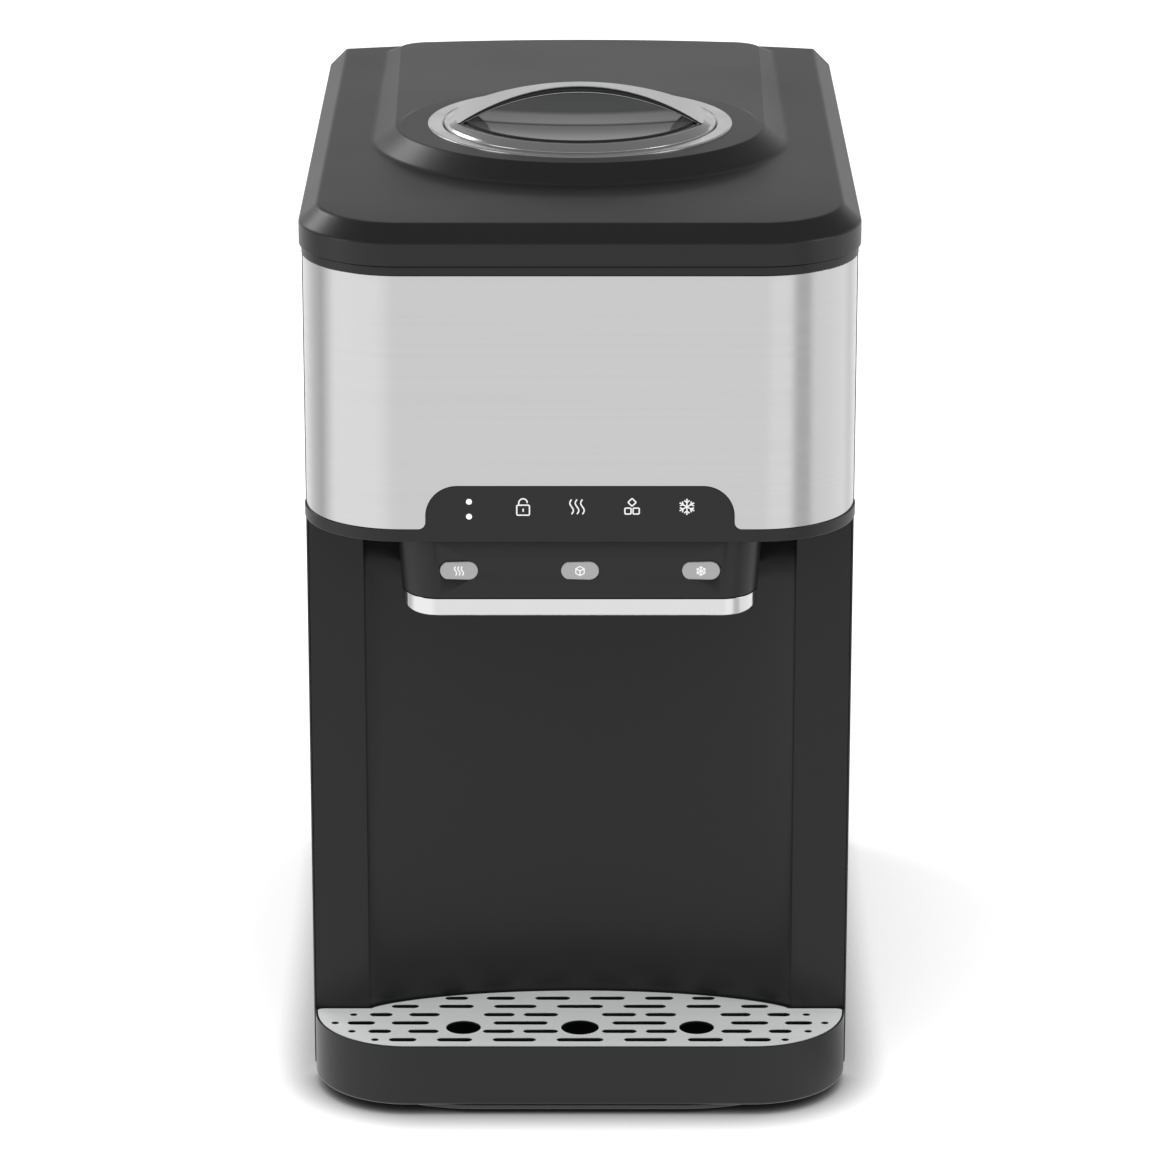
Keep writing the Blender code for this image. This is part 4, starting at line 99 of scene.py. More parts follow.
class NodeSheet:
    """A material's node tree with a Principled shader, and short ways to add nodes to it."""

    def __init__(self, name: str) -> None:
        """Make the material, with this name."""
        self.material = bpy.data.materials.new(name)
        self.material.use_nodes = True
        self.tree = self.material.node_tree
        self.shader = self.tree.nodes["Principled BSDF"]
        self.places = add(self.tree, "TexCoord", {}).outputs["Object"]

    def set(self, inputs: dict) -> None:
        """Set or link the shader's own inputs."""
        feed(self.tree, self.shader, inputs)

    def noise(self, scale: float, detail: float, stretch: Triple = (1.0, 1.0, 1.0)) -> Socket:
        """Noise over the object's own coordinates."""
        places = add(self.tree, "Mapping", {"Vector": self.places, "Scale": stretch}).outputs["Vector"]
        return add(self.tree, "TexNoise", {"Vector": places, "Scale": scale, "Detail": detail}).outputs["Fac"]

    def ranged(self, value: Socket, source: Pair, target: Pair) -> Socket:
        """Map a value from one range to another."""
        return add(self.tree, "MapRange", {
            "Value": value, "From Min": source[0], "From Max": source[1], "To Min": target[0], "To Max": target[1],
        }).outputs["Result"]

    def blend(self, share: Socket, first: Triple, second: Triple) -> Socket:
        """A colour between two, by a share that is nought for the first and one for the second."""
        inputs = {0: share, 6: (*first, 1.0), 7: (*second, 1.0)}
        return add(self.tree, "Mix", inputs, data_type="RGBA").outputs[2]

    def bump(self, height: Socket, depth: float, below: Optional[Socket] = None) -> Socket:
        """A normal that is pushed about by a height."""
        inputs = {"Strength": 1.0, "Distance": depth, "Height": height}
        if below is not None:
            inputs["Normal"] = below
        return add(self.tree, "Bump", inputs).outputs["Normal"]


def about(share: float) -> Pair:
    """Two factors, less and more than one by a share."""
    return (1 - share, 1 + share)


@dataclass(frozen=True)
class Surface:
    """What every finish has: its name, a record slot's name that nothing in this script reads, its colour and its
    gloss.
    """

    name: str
    slot: str
    colour: Triple
    roughness: float

    def dress(self, sheet: NodeSheet, tone: Socket, tones: Pair, gloss: Socket, glosses: Pair,
              normal: Socket) -> bpy.types.Material:
        """Let the colour, the gloss and the surface follow their patterns.

        Args:
            sheet: the finish's node tree.
            tone: the colour's pattern.
            tones: the factors on the colour at the pattern's ends.
            gloss: the roughness's pattern, a noise.
            glosses: the factors on the roughness at the pattern's ends.
            normal: the surface's normal.

        Returns:
            The material.
        """
        low, high = (tuple(part * factor for part in self.colour) for factor in tones)
        rough = (self.roughness * glosses[0], self.roughness * glosses[1])
        sheet.set({
            "Base Color": sheet.blend(tone, low, high), "Roughness": sheet.ranged(gloss, NOISE_MIDDLE, rough),
            "Normal": normal,
        })
        return sheet.material


@dataclass(frozen=True)
class Moulded(Surface):
    """Moulded plastic or rubber: a fine spark-eroded grain, and faint clouds in its gloss and its colour.

    The grain is in cells a metre, its depth in metres; cloud is how far gloss and colour wander.
    """

    grain: float = 1400.0
    depth: float = 0.000012
    cloud: float = 0.10
    specular: float = 0.5

    def material(self) -> bpy.types.Material:
        """Build the material."""
        sheet = NodeSheet(self.name)
        clouds = sheet.noise(14.0, 4.0)
        grain = sheet.bump(sheet.noise(self.grain, 2.0), self.depth)
        sheet.set({"Specular IOR Level": self.specular})
        return self.dress(sheet, clouds, about(self.cloud / 2), clouds, about(self.cloud), grain)


@dataclass(frozen=True)
class Brushed(Surface):
    """Metal brushed along one way: long streaks in its gloss, its tone and its surface.

    Stretch is the streaks' scale along each axis, so that they run long where it is small.
    """

    stretch: Triple = (6.0, 6.0, 900.0)
    depth: float = 0.000004
    tone: float = 0.05
    wander: float = 0.25
    metallic: float = 1.0

    def material(self) -> bpy.types.Material:
        """Build the material."""
        sheet = NodeSheet(self.name)
        streaks = sheet.noise(1.0, 6.0, self.stretch)
        wide = sheet.noise(1.0, 3.0, Vector(self.stretch) * 0.22)
        sheet.set({"Metallic": self.metallic})
        return self.dress(sheet, streaks, about(self.tone), wide, about(self.wander), sheet.bump(streaks, self.depth))


@dataclass(frozen=True)
class Polished(Surface):
    """Plated or drawn metal: bright, with a faint haze and a slight ripple."""

    ripple: float = 0.00003
    haze: float = 0.3

    def material(self) -> bpy.types.Material:
        """Build the material."""
        sheet = NodeSheet(self.name)
        clouds = sheet.noise(40.0, 3.0)
        sheet.set({"Metallic": 1.0})
        ripple = sheet.bump(sheet.noise(18.0, 1.0), self.ripple)
        return self.dress(sheet, clouds, about(0.03), clouds, about(self.haze), ripple)


@dataclass(frozen=True)
class Powder(Surface):
    """Powder-coated sheet: an orange-peel ripple under a fine texture."""

    peel: float = 420.0
    depth: float = 0.00004

    def material(self) -> bpy.types.Material:
        """Build the material."""
        sheet = NodeSheet(self.name)
        peel = sheet.noise(self.peel, 2.0)
        fine = sheet.bump(sheet.noise(self.peel * 5, 1.0), self.depth / 5)
        rippled = sheet.bump(peel, self.depth, fine)
        return self.dress(sheet, sheet.noise(9.0, 3.0), about(0.05), peel, (0.85, 1.1), rippled)


@dataclass(frozen=True)
class Lacquered(Surface):
    """A circuit board: green lacquer over fibre, with a faint weave and paler tracks."""

    def material(self) -> bpy.types.Material:
        """Build the material."""
        sheet = NodeSheet(self.name)
        tracks = sheet.noise(1.0, 0.0, (260.0, 260.0, 40.0))
        weave = sheet.bump(sheet.noise(1600.0, 1.0), 0.00001)
        return self.dress(sheet, tracks, (0.7, 1.5), tracks, about(0.2), weave)


@dataclass(frozen=True)
class Milky(Surface):
    """Translucent hose or light pipe: light scatters in it, and it looks wet on top."""

    scatter: float = 0.003
    glow: float = 0.0

    def material(self) -> bpy.types.Material:
        """Build the material."""
        sheet = NodeSheet(self.name)
        clouds = sheet.noise(120.0, 2.0)
        sheet.set({
            "Subsurface Weight": 0.3, "Subsurface Scale": self.scatter, "Emission Strength": self.glow,
            "Emission Color": (*self.colour, 1.0),
        })
        return self.dress(sheet, clouds, (0.97, 1.02), clouds, about(0.2), sheet.bump(clouds, 0.00001))


class Finish(Enum):
    """Every finish on the machine. Those without a slot are only on pieces kept from the CAD."""

    SATIN_BLACK = Moulded("satin_black", "black_plastic", (0.0095, 0.0095, 0.0098), 0.36, cloud=0.03, specular=0.37)
    NICHE_BLACK = Moulded("niche_black", "black_plastic", (0.0100, 0.0100, 0.0103), 0.33, cloud=0.03, specular=0.31)
    SMOKE = Moulded(
        "smoke", "smoke_plastic", (0.036, 0.037, 0.037), 0.035, grain=60.0, depth=0.000001, cloud=0.2, specular=0.06,
    )
    SILVER = Polished("silver_lacquer", "silver_plastic", (0.67, 0.675, 0.675), 0.19, ripple=0.000004, haze=0.15)
    KEY_GREY = Moulded("key_grey", "grey_plastic", (0.36, 0.36, 0.36), 0.42, grain=1800.0, depth=0.000006, cloud=0.04)
    PRINT_WHITE = Moulded(
        "print_white", "white_plastic", (0.86, 0.86, 0.86), 0.50, grain=2600.0, depth=0.000004, cloud=0.03,
    )
    OUTLET_WHITE = Moulded("outlet_white", "white_plastic", (0.62, 0.62, 0.60), 0.38, cloud=0.05)
    # Real rubber on the feet and the drain cap, and also painted shade: the screw recesses, the grip's groove and the
    # ring round the cover's bowl are made dark in it where shade falls.
    DARK_RUBBER = Moulded("rubber_and_painted_shade", "rubber", (0.016, 0.016, 0.016), 0.82, grain=900.0, depth=0.00003)
    DRAIN_GREY = Moulded("drain_grey", "grey_plastic", (0.20, 0.20, 0.20), 0.48)
    FRONT_STEEL = Brushed("front_steel", "brushed_steel", (0.60, 0.602, 0.602), 0.17, tone=0.02)
    PLATE_STEEL = Brushed(
        "plate_steel", "grille_steel", (0.82, 0.84, 0.84), 0.50, stretch=(5.0, 700.0, 700.0), tone=0.03,
        metallic=0.26,
    )
    TANK_STEEL = Brushed("tank_steel", "", (0.60, 0.60, 0.58), 0.32, stretch=(300.0, 300.0, 4.0))
    MILL_ALUMINIUM = Brushed("mill_aluminium", "", (0.72, 0.73, 0.74), 0.36, stretch=(20.0, 20.0, 400.0))
    BRIGHT_PLATE = Polished("bright_plate", "chrome", (0.74, 0.74, 0.74), 0.12)
    COPPER_TUBE = Polished("copper_tube", "", (0.72, 0.36, 0.20), 0.26)
    BRASS_PIN = Polished("brass_pin", "copper", (0.75, 0.62, 0.36), 0.24)
    SHEET_BLACK = Powder("sheet_black", "dark_sheet", (0.0145, 0.0145, 0.0150), 0.52)
    FRAME_PAINT = Powder("frame_paint", "painted_metal", (0.030, 0.030, 0.032), 0.44, peel=300.0)
    BOARD = Lacquered("board_lacquer", "", (0.030, 0.130, 0.060), 0.42)
    HOSE = Milky("milky_hose", "", (0.68, 0.72, 0.74), 0.28)
    LENS = Milky("light_lens", "white_plastic", (0.90, 0.90, 0.90), 0.30, glow=0.25)

    def material(self) -> bpy.types.Material:
        """The finish's material, made at its first use."""
        return bpy.data.materials.get(self.value.name) or self.value.material()


@dataclass(frozen=True)
class Machine:
    """The sizes that several sub-assemblies share, in metres."""

    half: float = 0.150
    front: float = -0.229
    face: float = -0.2277
    corner_r: float = 0.054
    rear: float = 0.229
    rear_edge: float = 0.209
    rear_bow: float = 0.020
    column_y: float = -0.171
    niche_half: float = 0.119
    niche_bow: float = 0.0265
    niche_fullness: float = 0.72
    stand_z: float = 0.0059
    outlet_x: float = 0.0652
    outlet_y: float = -0.1997
    chute_y: float = -0.1971
    seat_y: float = -0.031
    gap: float = 0.0003

    def rear_y(self, x: float) -> float:
        """The bowed rear of the body at x."""
        radius = (self.half ** 2 + self.rear_bow ** 2) / (2 * self.rear_bow)
        return self.rear_edge + math.sqrt(radius ** 2 - x ** 2) - (radius - self.rear_bow)

    def niche_y(self, x: float) -> float:
        """The wall of the niche at x."""
        return self.column_y + self.swell(x, self.niche_half)

    def swell(self, x: float, half_chord: float) -> float:
        """How far the niche's curve stands behind the columns at x."""
        return self.niche_bow * max(0.0, 1 - (x / half_chord) ** 2) ** self.niche_fullness


SIZE = Machine()
REAR_CUTS = 23
EASED_ANGLE = math.radians(50)


class Plan:
    """A closed flat outline, kept as one face so that bmesh operators can round and divide it."""

    def __init__(self, corners: Sequence[Pair]) -> None:
        """Draw the outline."""
        self.shape = bmesh.new()
        self.shape.faces.new([self.shape.verts.new((x, y, 0.0)) for x, y in corners])

    def nearest(self, place: Pair) -> Vert:
        """The outline's vertex that is nearest to a place."""
        return min(self.shape.verts, key=lambda vert: (vert.co.xy - Vector(place)).length)

    def round(self, corner: Pair, radius: float, segments: int = 20) -> "Plan":
        """Round one corner."""
        bmesh.ops.bevel(
            self.shape, geom=[self.nearest(corner)], offset=radius, offset_type="OFFSET", segments=segments,
            profile=0.5, affect="VERTICES", material=-1, clamp_overlap=False,
        )
        return self

    def round_both(self, corner: Pair, radius: float, segments: int = 20) -> "Plan":
        """Round a corner and its mirror image."""
        return self.round(corner, radius, segments).round((-corner[0], corner[1]), radius, segments)

    def curve(self, start: Pair, cuts: int, line: Callable[[float], float], eased: bool = False) -> "Plan":
        """Bend the straight side between a place and its mirror image into a curve.

        Args:
            start: where the side starts.
            cuts: how many vertices it gets between its ends.
            line: gives the curve's y at x.
            eased: whether the vertices lie closer together near the ends.

        Returns:
            This outline.
        """
        first, last = self.nearest(start), self.nearest((-start[0], start[1]))
        side = self.shape.edges.get((first, last))
        base, run = first.co.copy(), last.co - first.co
        made = bmesh.ops.subdivide_edges(self.shape, edges=[side], cuts=cuts)
        for vert in made["geom_inner"]:
            if isinstance(vert, Vert):
                share = (vert.co - base).dot(run) / run.length_squared
                x = start[0] * (math.cos(math.pi * share) if eased else 1 - 2 * share)
                vert.co.xy = (x, line(x))
        return self

    def points(self, start: Pair) -> Ring:
        """The outline's points in order, and the end of this plan.

        Args:
            start: the place whose nearest point comes first.

        Returns:
            The points, anticlockwise.
        """
        self.shape.faces.ensure_lookup_table()
        self.shape.normal_update()
        points = [loop.vert.co.copy() for loop in self.shape.faces[0].loops]
        if self.shape.faces[0].normal.z < 0:
            points.reverse()
        self.shape.free()
        first = min(range(len(points)), key=lambda index: (points[index].xy - Vector(start)).length)
        return points[first:] + points[:first]


def level(points: Ring, height: float) -> Ring:
    """The outline lying flat at a height."""
    return [Vector((point.x, point.y, height)) for point in points]


def upright(points: Ring, depth: float) -> Ring:
    """The outline standing up, facing the front, at a depth."""
    return [Vector((point.x, depth, point.y)) for point in points]


def sideways(points: Ring, across: float) -> Ring:
    """The outline standing up, facing a side, at a place across."""
    return [Vector((across, point.x, point.y)) for point in points]


def soften(corners: Sequence[Triple], steps: int = 4) -> list[Pair]:
    """Round the corners of an open profile.

    Args:
        corners: each corner's two coordinates and its radius, nought for a sharp one.
        steps: how many straight pieces each arc has.

    Returns:
        The profile's points.
    """
    points: list[Pair] = []
    for index, (across, up, radius) in enumerate(corners):
        if radius == 0 or index in (0, len(corners) - 1):
            points.append((across, up))
            continue
        here = Vector((across, up))
        back = (Vector(corners[index - 1][:2]) - here).normalized()
        onward = (Vector(corners[index + 1][:2]) - here).normalized()
        half = back.angle(onward) / 2
        reach = max(radius / max(math.tan(half), 1e-6), radius * 0.05) if half < 1.55 else radius * 0.3
        start, end, weight = here + back * reach, here + onward * reach, math.sin(half)
        for step in range(steps + 1):
            share = step / steps
            parts = ((1 - share) ** 2, 2 * share * (1 - share) * weight, share ** 2)
            point = (start * parts[0] + here * parts[1] + end * parts[2]) / sum(parts)
            points.append((point.x, point.y))
    return points


def picked(made: dict, kind: type) -> list:
    """An operator's new vertices, edges or faces."""
    return [item for item in made["geom"] if isinstance(item, kind)]


def grow(shape: Mesh, rings: Sequence[Ring], closed: bool = True, tube: bool = False,
         caps: bool = False) -> list[list[Vert]]:
    """Extrude a wire ring by ring into a skin.

    Args:
        shape: the mesh that it is added to.
        rings: the places of each ring's points.
        closed: whether each ring goes all the way round.
        tube: whether the last ring joins the first.
        caps: whether both ends get a face.

    Returns:
        The vertices of each ring.
    """
    row = drawn(shape, rings[0])
    edges = [shape.edges.new(pair) for pair in zip(row, row[1:] + row[:1] if closed else row[1:])]
    rows, first_edges = [row], list(edges)
    for ring in list(rings[1:]) + (list(rings[:1]) if tube else []):
        made = bmesh.ops.extrude_edge_only(shape, edges=edges)
        fresh = set(picked(made, Vert))
        row = [next(e.other_vert(v) for e in v.link_edges if e.other_vert(v) in fresh) for v in row]
        for vert, point in zip(row, ring):
            vert.co = point
        edges = [edge for edge in picked(made, bmesh.types.BMEdge) if all(vert in fresh for vert in edge.verts)]
        rows.append(row)
    if tube:
        bmesh.ops.remove_doubles(shape, verts=rows[0] + rows[-1], dist=1e-7)
        rows.pop()
        if not closed:
            rims = [edge for edge in shape.edges if edge.is_boundary]
            bmesh.ops.holes_fill(shape, edges=rims, sides=0)
    if caps:
        bmesh.ops.contextual_create(shape, geom=first_edges)
        bmesh.ops.contextual_create(shape, geom=edges)
    return rows


def fill(shape: Mesh, *loops: Sequence[Vert]) -> list[Face]:
    """Fill a flat outline, leaving out the outlines inside it."""
    edges = []
    for loop in loops:
        for pair in zip(loop, list(loop[1:]) + [loop[0]]):
            edges.append(shape.edges.get(pair) or shape.edges.new(pair))
    made = bmesh.ops.triangle_fill(shape, use_beauty=True, use_dissolve=False, edges=edges)
    return picked(made, Face)


def widest_gap(holes: Sequence[Ring], axis: int) -> Pair:
    """The widest clear gap between holes along one axis."""
    spans = sorted((min(point[axis] for point in hole), max(point[axis] for point in hole)) for hole in holes)
    best, reach = (0.0, 0.0), spans[0][1]
    for start, end in spans[1:]:
        best = max(best, (start - reach, (start + reach) / 2))
        reach = max(reach, end)
    return best


def covers(hole: Ring, place: Vector) -> bool:
    """Whether a place is inside a hole, which is convex and lies flat."""
    turns = [(second - first).cross(place - first).z for first, second in zip(hole, hole[1:] + hole[:1])]
    return min(turns) > 0 or max(turns) < 0


def punch(shape: Mesh, face: Face, holes: Sequence[Ring]) -> None:
    """Cut holes out of a flat face, after parting it between them until each part has one.

    Args:
        shape: the mesh, which lies flat.
        face: the face.
        holes: the holes' outlines.
    """
    if not holes:
        return
    if len(holes) == 1:
        outline = [loop.vert for loop in face.loops]
        bmesh.ops.delete(shape, geom=[face], context="FACES_ONLY")
        made = fill(shape, outline, drawn(shape, holes[0]))
        stray = [face for face in made if face.calc_area() < 1e-5 or covers(holes[0], face.calc_center_median())]
        bmesh.ops.delete(shape, geom=stray, context="FACES_ONLY")
        return
    gaps = [widest_gap(holes, axis) for axis in (0, 1)]
    axis = 0 if gaps[0][0] >= gaps[1][0] else 1
    normal = Vector((1.0, 0.0, 0.0)) if axis == 0 else Vector((0.0, 1.0, 0.0))
    geom = [face, *face.edges, *face.verts]
    made = bmesh.ops.bisect_plane(shape, geom=geom, plane_co=normal * gaps[axis][1], plane_no=normal, dist=1e-7)
    for part in picked(made, Face):
        below = part.calc_center_median()[axis] < gaps[axis][1]
        punch(shape, part, [hole for hole in holes if (hole[0][axis] < gaps[axis][1]) == below])


def perforated(outline: Ring, holes: Sequence[Ring]) -> Mesh:
    """A flat sheet with holes."""
    shape = bmesh.new()
    sheet = shape.faces.new(drawn(shape, [point * 1000 for point in outline]))
    punch(shape, sheet, [[point * 1000 for point in hole] for hole in holes])
    bmesh.ops.scale(shape, verts=shape.verts, vec=(0.001, 0.001, 0.001))
    return shape


def drawn(shape: Mesh, points: Ring) -> list[Vert]:
    """New vertices at these points."""
    return [shape.verts.new(point) for point in points]


def disc(centre: Pair, radius: float, segments: int = 48) -> Ring:
    """The outline of a circle, in order and lying flat."""
    shape = bmesh.new()
    made = bmesh.ops.create_circle(shape, cap_ends=False, radius=radius, segments=segments)["verts"]
    points = [vert.co + Vector((*centre, 0.0)) for vert in made]
    shape.free()
    return points


def pill(centre: Pair, length: float, height: float) -> Ring:
    """The outline of a bar with round ends."""
    reach, middle = (length - height) / 2, Vector((*centre, 0.0))
    ends = disc((0, 0), height / 2, 18)
    return [point + middle + Vector((math.copysign(reach, point.x), 0.0, 0.0)) for point in ends]


def box(centre: Pair, half: Pair) -> list[Pair]:
    """The corners of a box, anticlockwise from the lower left one."""
    (x, y), (wide, tall) = centre, half
    return [(x - wide, y - tall), (x + wide, y - tall), (x + wide, y + tall), (x - wide, y + tall)]


def thicken(shape: Mesh, depth: Vector) -> None:
    """Extrude a sheet into a closed plate, whose other side is this far away."""
    made = bmesh.ops.extrude_face_region(shape, geom=shape.faces[:], use_keep_orig=True)
    bmesh.ops.translate(shape, verts=picked(made, Vert), vec=depth)
    bmesh.ops.recalc_face_normals(shape, faces=shape.faces)


def ease(shape: Mesh, radius: float, segments: int = 2, where: Callable[[Vector], bool] = lambda place: True,
         clamp: bool = True) -> None:
    """Round the sharp edges.

    Args:
        shape: the mesh.
        radius: the rounding's radius.
        segments: how many faces go round it.
        where: tells whether an edge with this middle is rounded.
        clamp: whether the rounding shrinks where it would overlap.
    """
    sharp = []
    for edge in shape.edges:
        middle = (edge.verts[0].co + edge.verts[1].co) / 2
        if edge.is_manifold and edge.calc_face_angle() > EASED_ANGLE and where(middle):
            sharp.append(edge)
    bmesh.ops.bevel(
        shape, geom=sharp, offset=radius, offset_type="OFFSET", segments=segments, profile=0.5,
        affect="EDGES", material=-1, clamp_overlap=clamp,
    )


def publish(shape: Mesh, name: str, finish: Finish, stands_for: str = "", part: Part = Part.HOUSING,
            wall: float = 0.0, sharp: float = 38.0) -> None:
    """Make a finished piece of a mesh.

    Args:
        shape: the mesh, which is freed.
        name: the piece's name.
        finish: what it is made of.
        stands_for: the CAD node that it replaces, or nothing.
        part: the body that it rides on.
        wall: how thick the skin is made, inwards, or nought for a closed mesh.
        sharp: the angle between faces, in degrees, past which an edge stays sharp.
    """
    loose = [vert for vert in shape.verts if not vert.link_faces]
    bmesh.ops.delete(shape, geom=loose, context="VERTS")
    bmesh.ops.remove_doubles(shape, verts=shape.verts, dist=5e-7)
    bmesh.ops.dissolve_degenerate(shape, edges=shape.edges, dist=5e-7)
    bmesh.ops.recalc_face_normals(shape, faces=shape.faces)
    mesh = bpy.data.meshes.new(name)
    shape.to_mesh(mesh)
    shape.free()
    mesh.shade_smooth()
    mesh.set_sharp_from_angle(angle=math.radians(sharp))
    mesh.materials.append(finish.material())
    piece = bpy.data.objects.new(name, mesh)
    bpy.context.scene.collection.objects.link(piece)
    if wall:
        skin = piece.modifiers.new("wall", "SOLIDIFY")
        skin.thickness = wall
        skin.offset = -1.0
    weights = piece.modifiers.new("face_weights", "WEIGHTED_NORMAL")
    weights.keep_sharp = True
    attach(piece, part.value)
    if stands_for:
        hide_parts(stands_for)
    count = sum(len(face.vertices) - 2 for face in mesh.polygons)
    log.info("%s: %d triangles in %s, on %s", name, count, finish.value.name, part.value)


def publish_turned(name: str, finish: Finish, profile: Sequence[Pair], centre: Triple, axis: Axis = Axis.UPRIGHT,
                   steps: int = 96, closed: bool = False, stands_for: str = "", part: Part = Part.HOUSING) -> None:
    """Spin a profile all the way round and make it a finished piece.

    Args:
        name: the piece's name.
        finish: what it is made of.
        profile: each point's radius and its place along the axis.
        centre: a point on the axis.
        axis: the way the axis points.
        steps: how many sides the turned piece has.
        closed: whether the profile's last point joins its first.
        stands_for: the CAD node that it replaces, or nothing.
        part: the body that it rides on.
    """
    shape, middle, way = bmesh.new(), Vector(centre), Vector(axis.value)
    verts = drawn(shape, [middle + Vector((radius, 0.0, 0.0)) + way * along for radius, along in profile])
    pairs = zip(verts, verts[1:] + verts[:1] if closed else verts[1:])
    edges = [shape.edges.new(pair) for pair in pairs]
    bmesh.ops.spin(
        shape, geom=verts + edges, cent=middle, axis=way, angle=2 * math.pi, steps=steps,
        use_merge=True, use_duplicate=False,
    )
    bmesh.ops.remove_doubles(shape, verts=shape.verts, dist=1e-6)
    publish(shape, name, finish, stands_for, part)


def publish_grown(name: str, finish: Finish, rings: Sequence[Ring], stands_for: str = "",
                  part: Part = Part.HOUSING, closed: bool = True, tube: bool = False) -> None:
    """Grow a skin from ring to ring and make it a finished piece, with capped ends unless it is a tube.

    Args:
        name: the piece's name.
        finish: what it is made of.
        rings: the places of each ring's points.
        stands_for: the CAD node that it replaces, or nothing.
        part: the body that it rides on.
        closed: whether each ring goes all the way round.
        tube: whether the last ring joins the first.
    """
    shape = bmesh.new()
    grow(shape, rings, closed, tube, not tube)
    publish(shape, name, finish, stands_for, part)


def publish_eased(name: str, finish: Finish, node: str, radius: float, part: Part = Part.HOUSING) -> None:
    """Make a finished piece of a CAD node's copy, merged, with its flat faces whole and its edges eased.

    Args:
        name: the piece's name.
        finish: what it is made of.
        node: the CAD node.
        radius: the edges' radius.
        part: the body that it rides on.
    """
    shape = bmesh.new()
    shape.from_mesh(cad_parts[node].data)
    bmesh.ops.remove_doubles(shape, verts=shape.verts, dist=1e-6)
    bmesh.ops.dissolve_limit(shape, angle_limit=math.radians(0.5), verts=shape.verts, edges=shape.edges)
    ease(shape, radius)
    publish(shape, name, finish, node, part)


def parted(ring: Ring, longest: float, number: int) -> Ring:
    """A ring with every side that is longer than a length parted evenly."""
    points = []
    for start, end in zip(ring, ring[1:] + ring[:1]):
        parts = number if (end - start).length > longest else 1
        points += [start.lerp(end, step / parts) for step in range(parts)]
    return points


def body_plan(half: float, front: float, radius: float, rear_inset: float = 0.0) -> Ring:
    """The body in plan: two round front corners, straight sides and a bowed rear."""
    rear = SIZE.rear_y(half) - rear_inset
    plan = Plan([(-half, front), (half, front), (half, rear), (-half, rear)]).round_both((half, front), radius)
    plan.curve((half, rear), REAR_CUTS, lambda x: SIZE.rear_y(x) - rear_inset)
    return plan.points((-half, rear))


def wrap_plan(half: float, front: float, radius: float, rear: float) -> Ring:
    """A sheet in plan that goes from the left rear round both front corners to the right rear."""
    plan = Plan([(-half, rear), (-half, front), (half, front), (half, rear)])
    return plan.round_both((half, front), radius, 24).points((-half, rear))


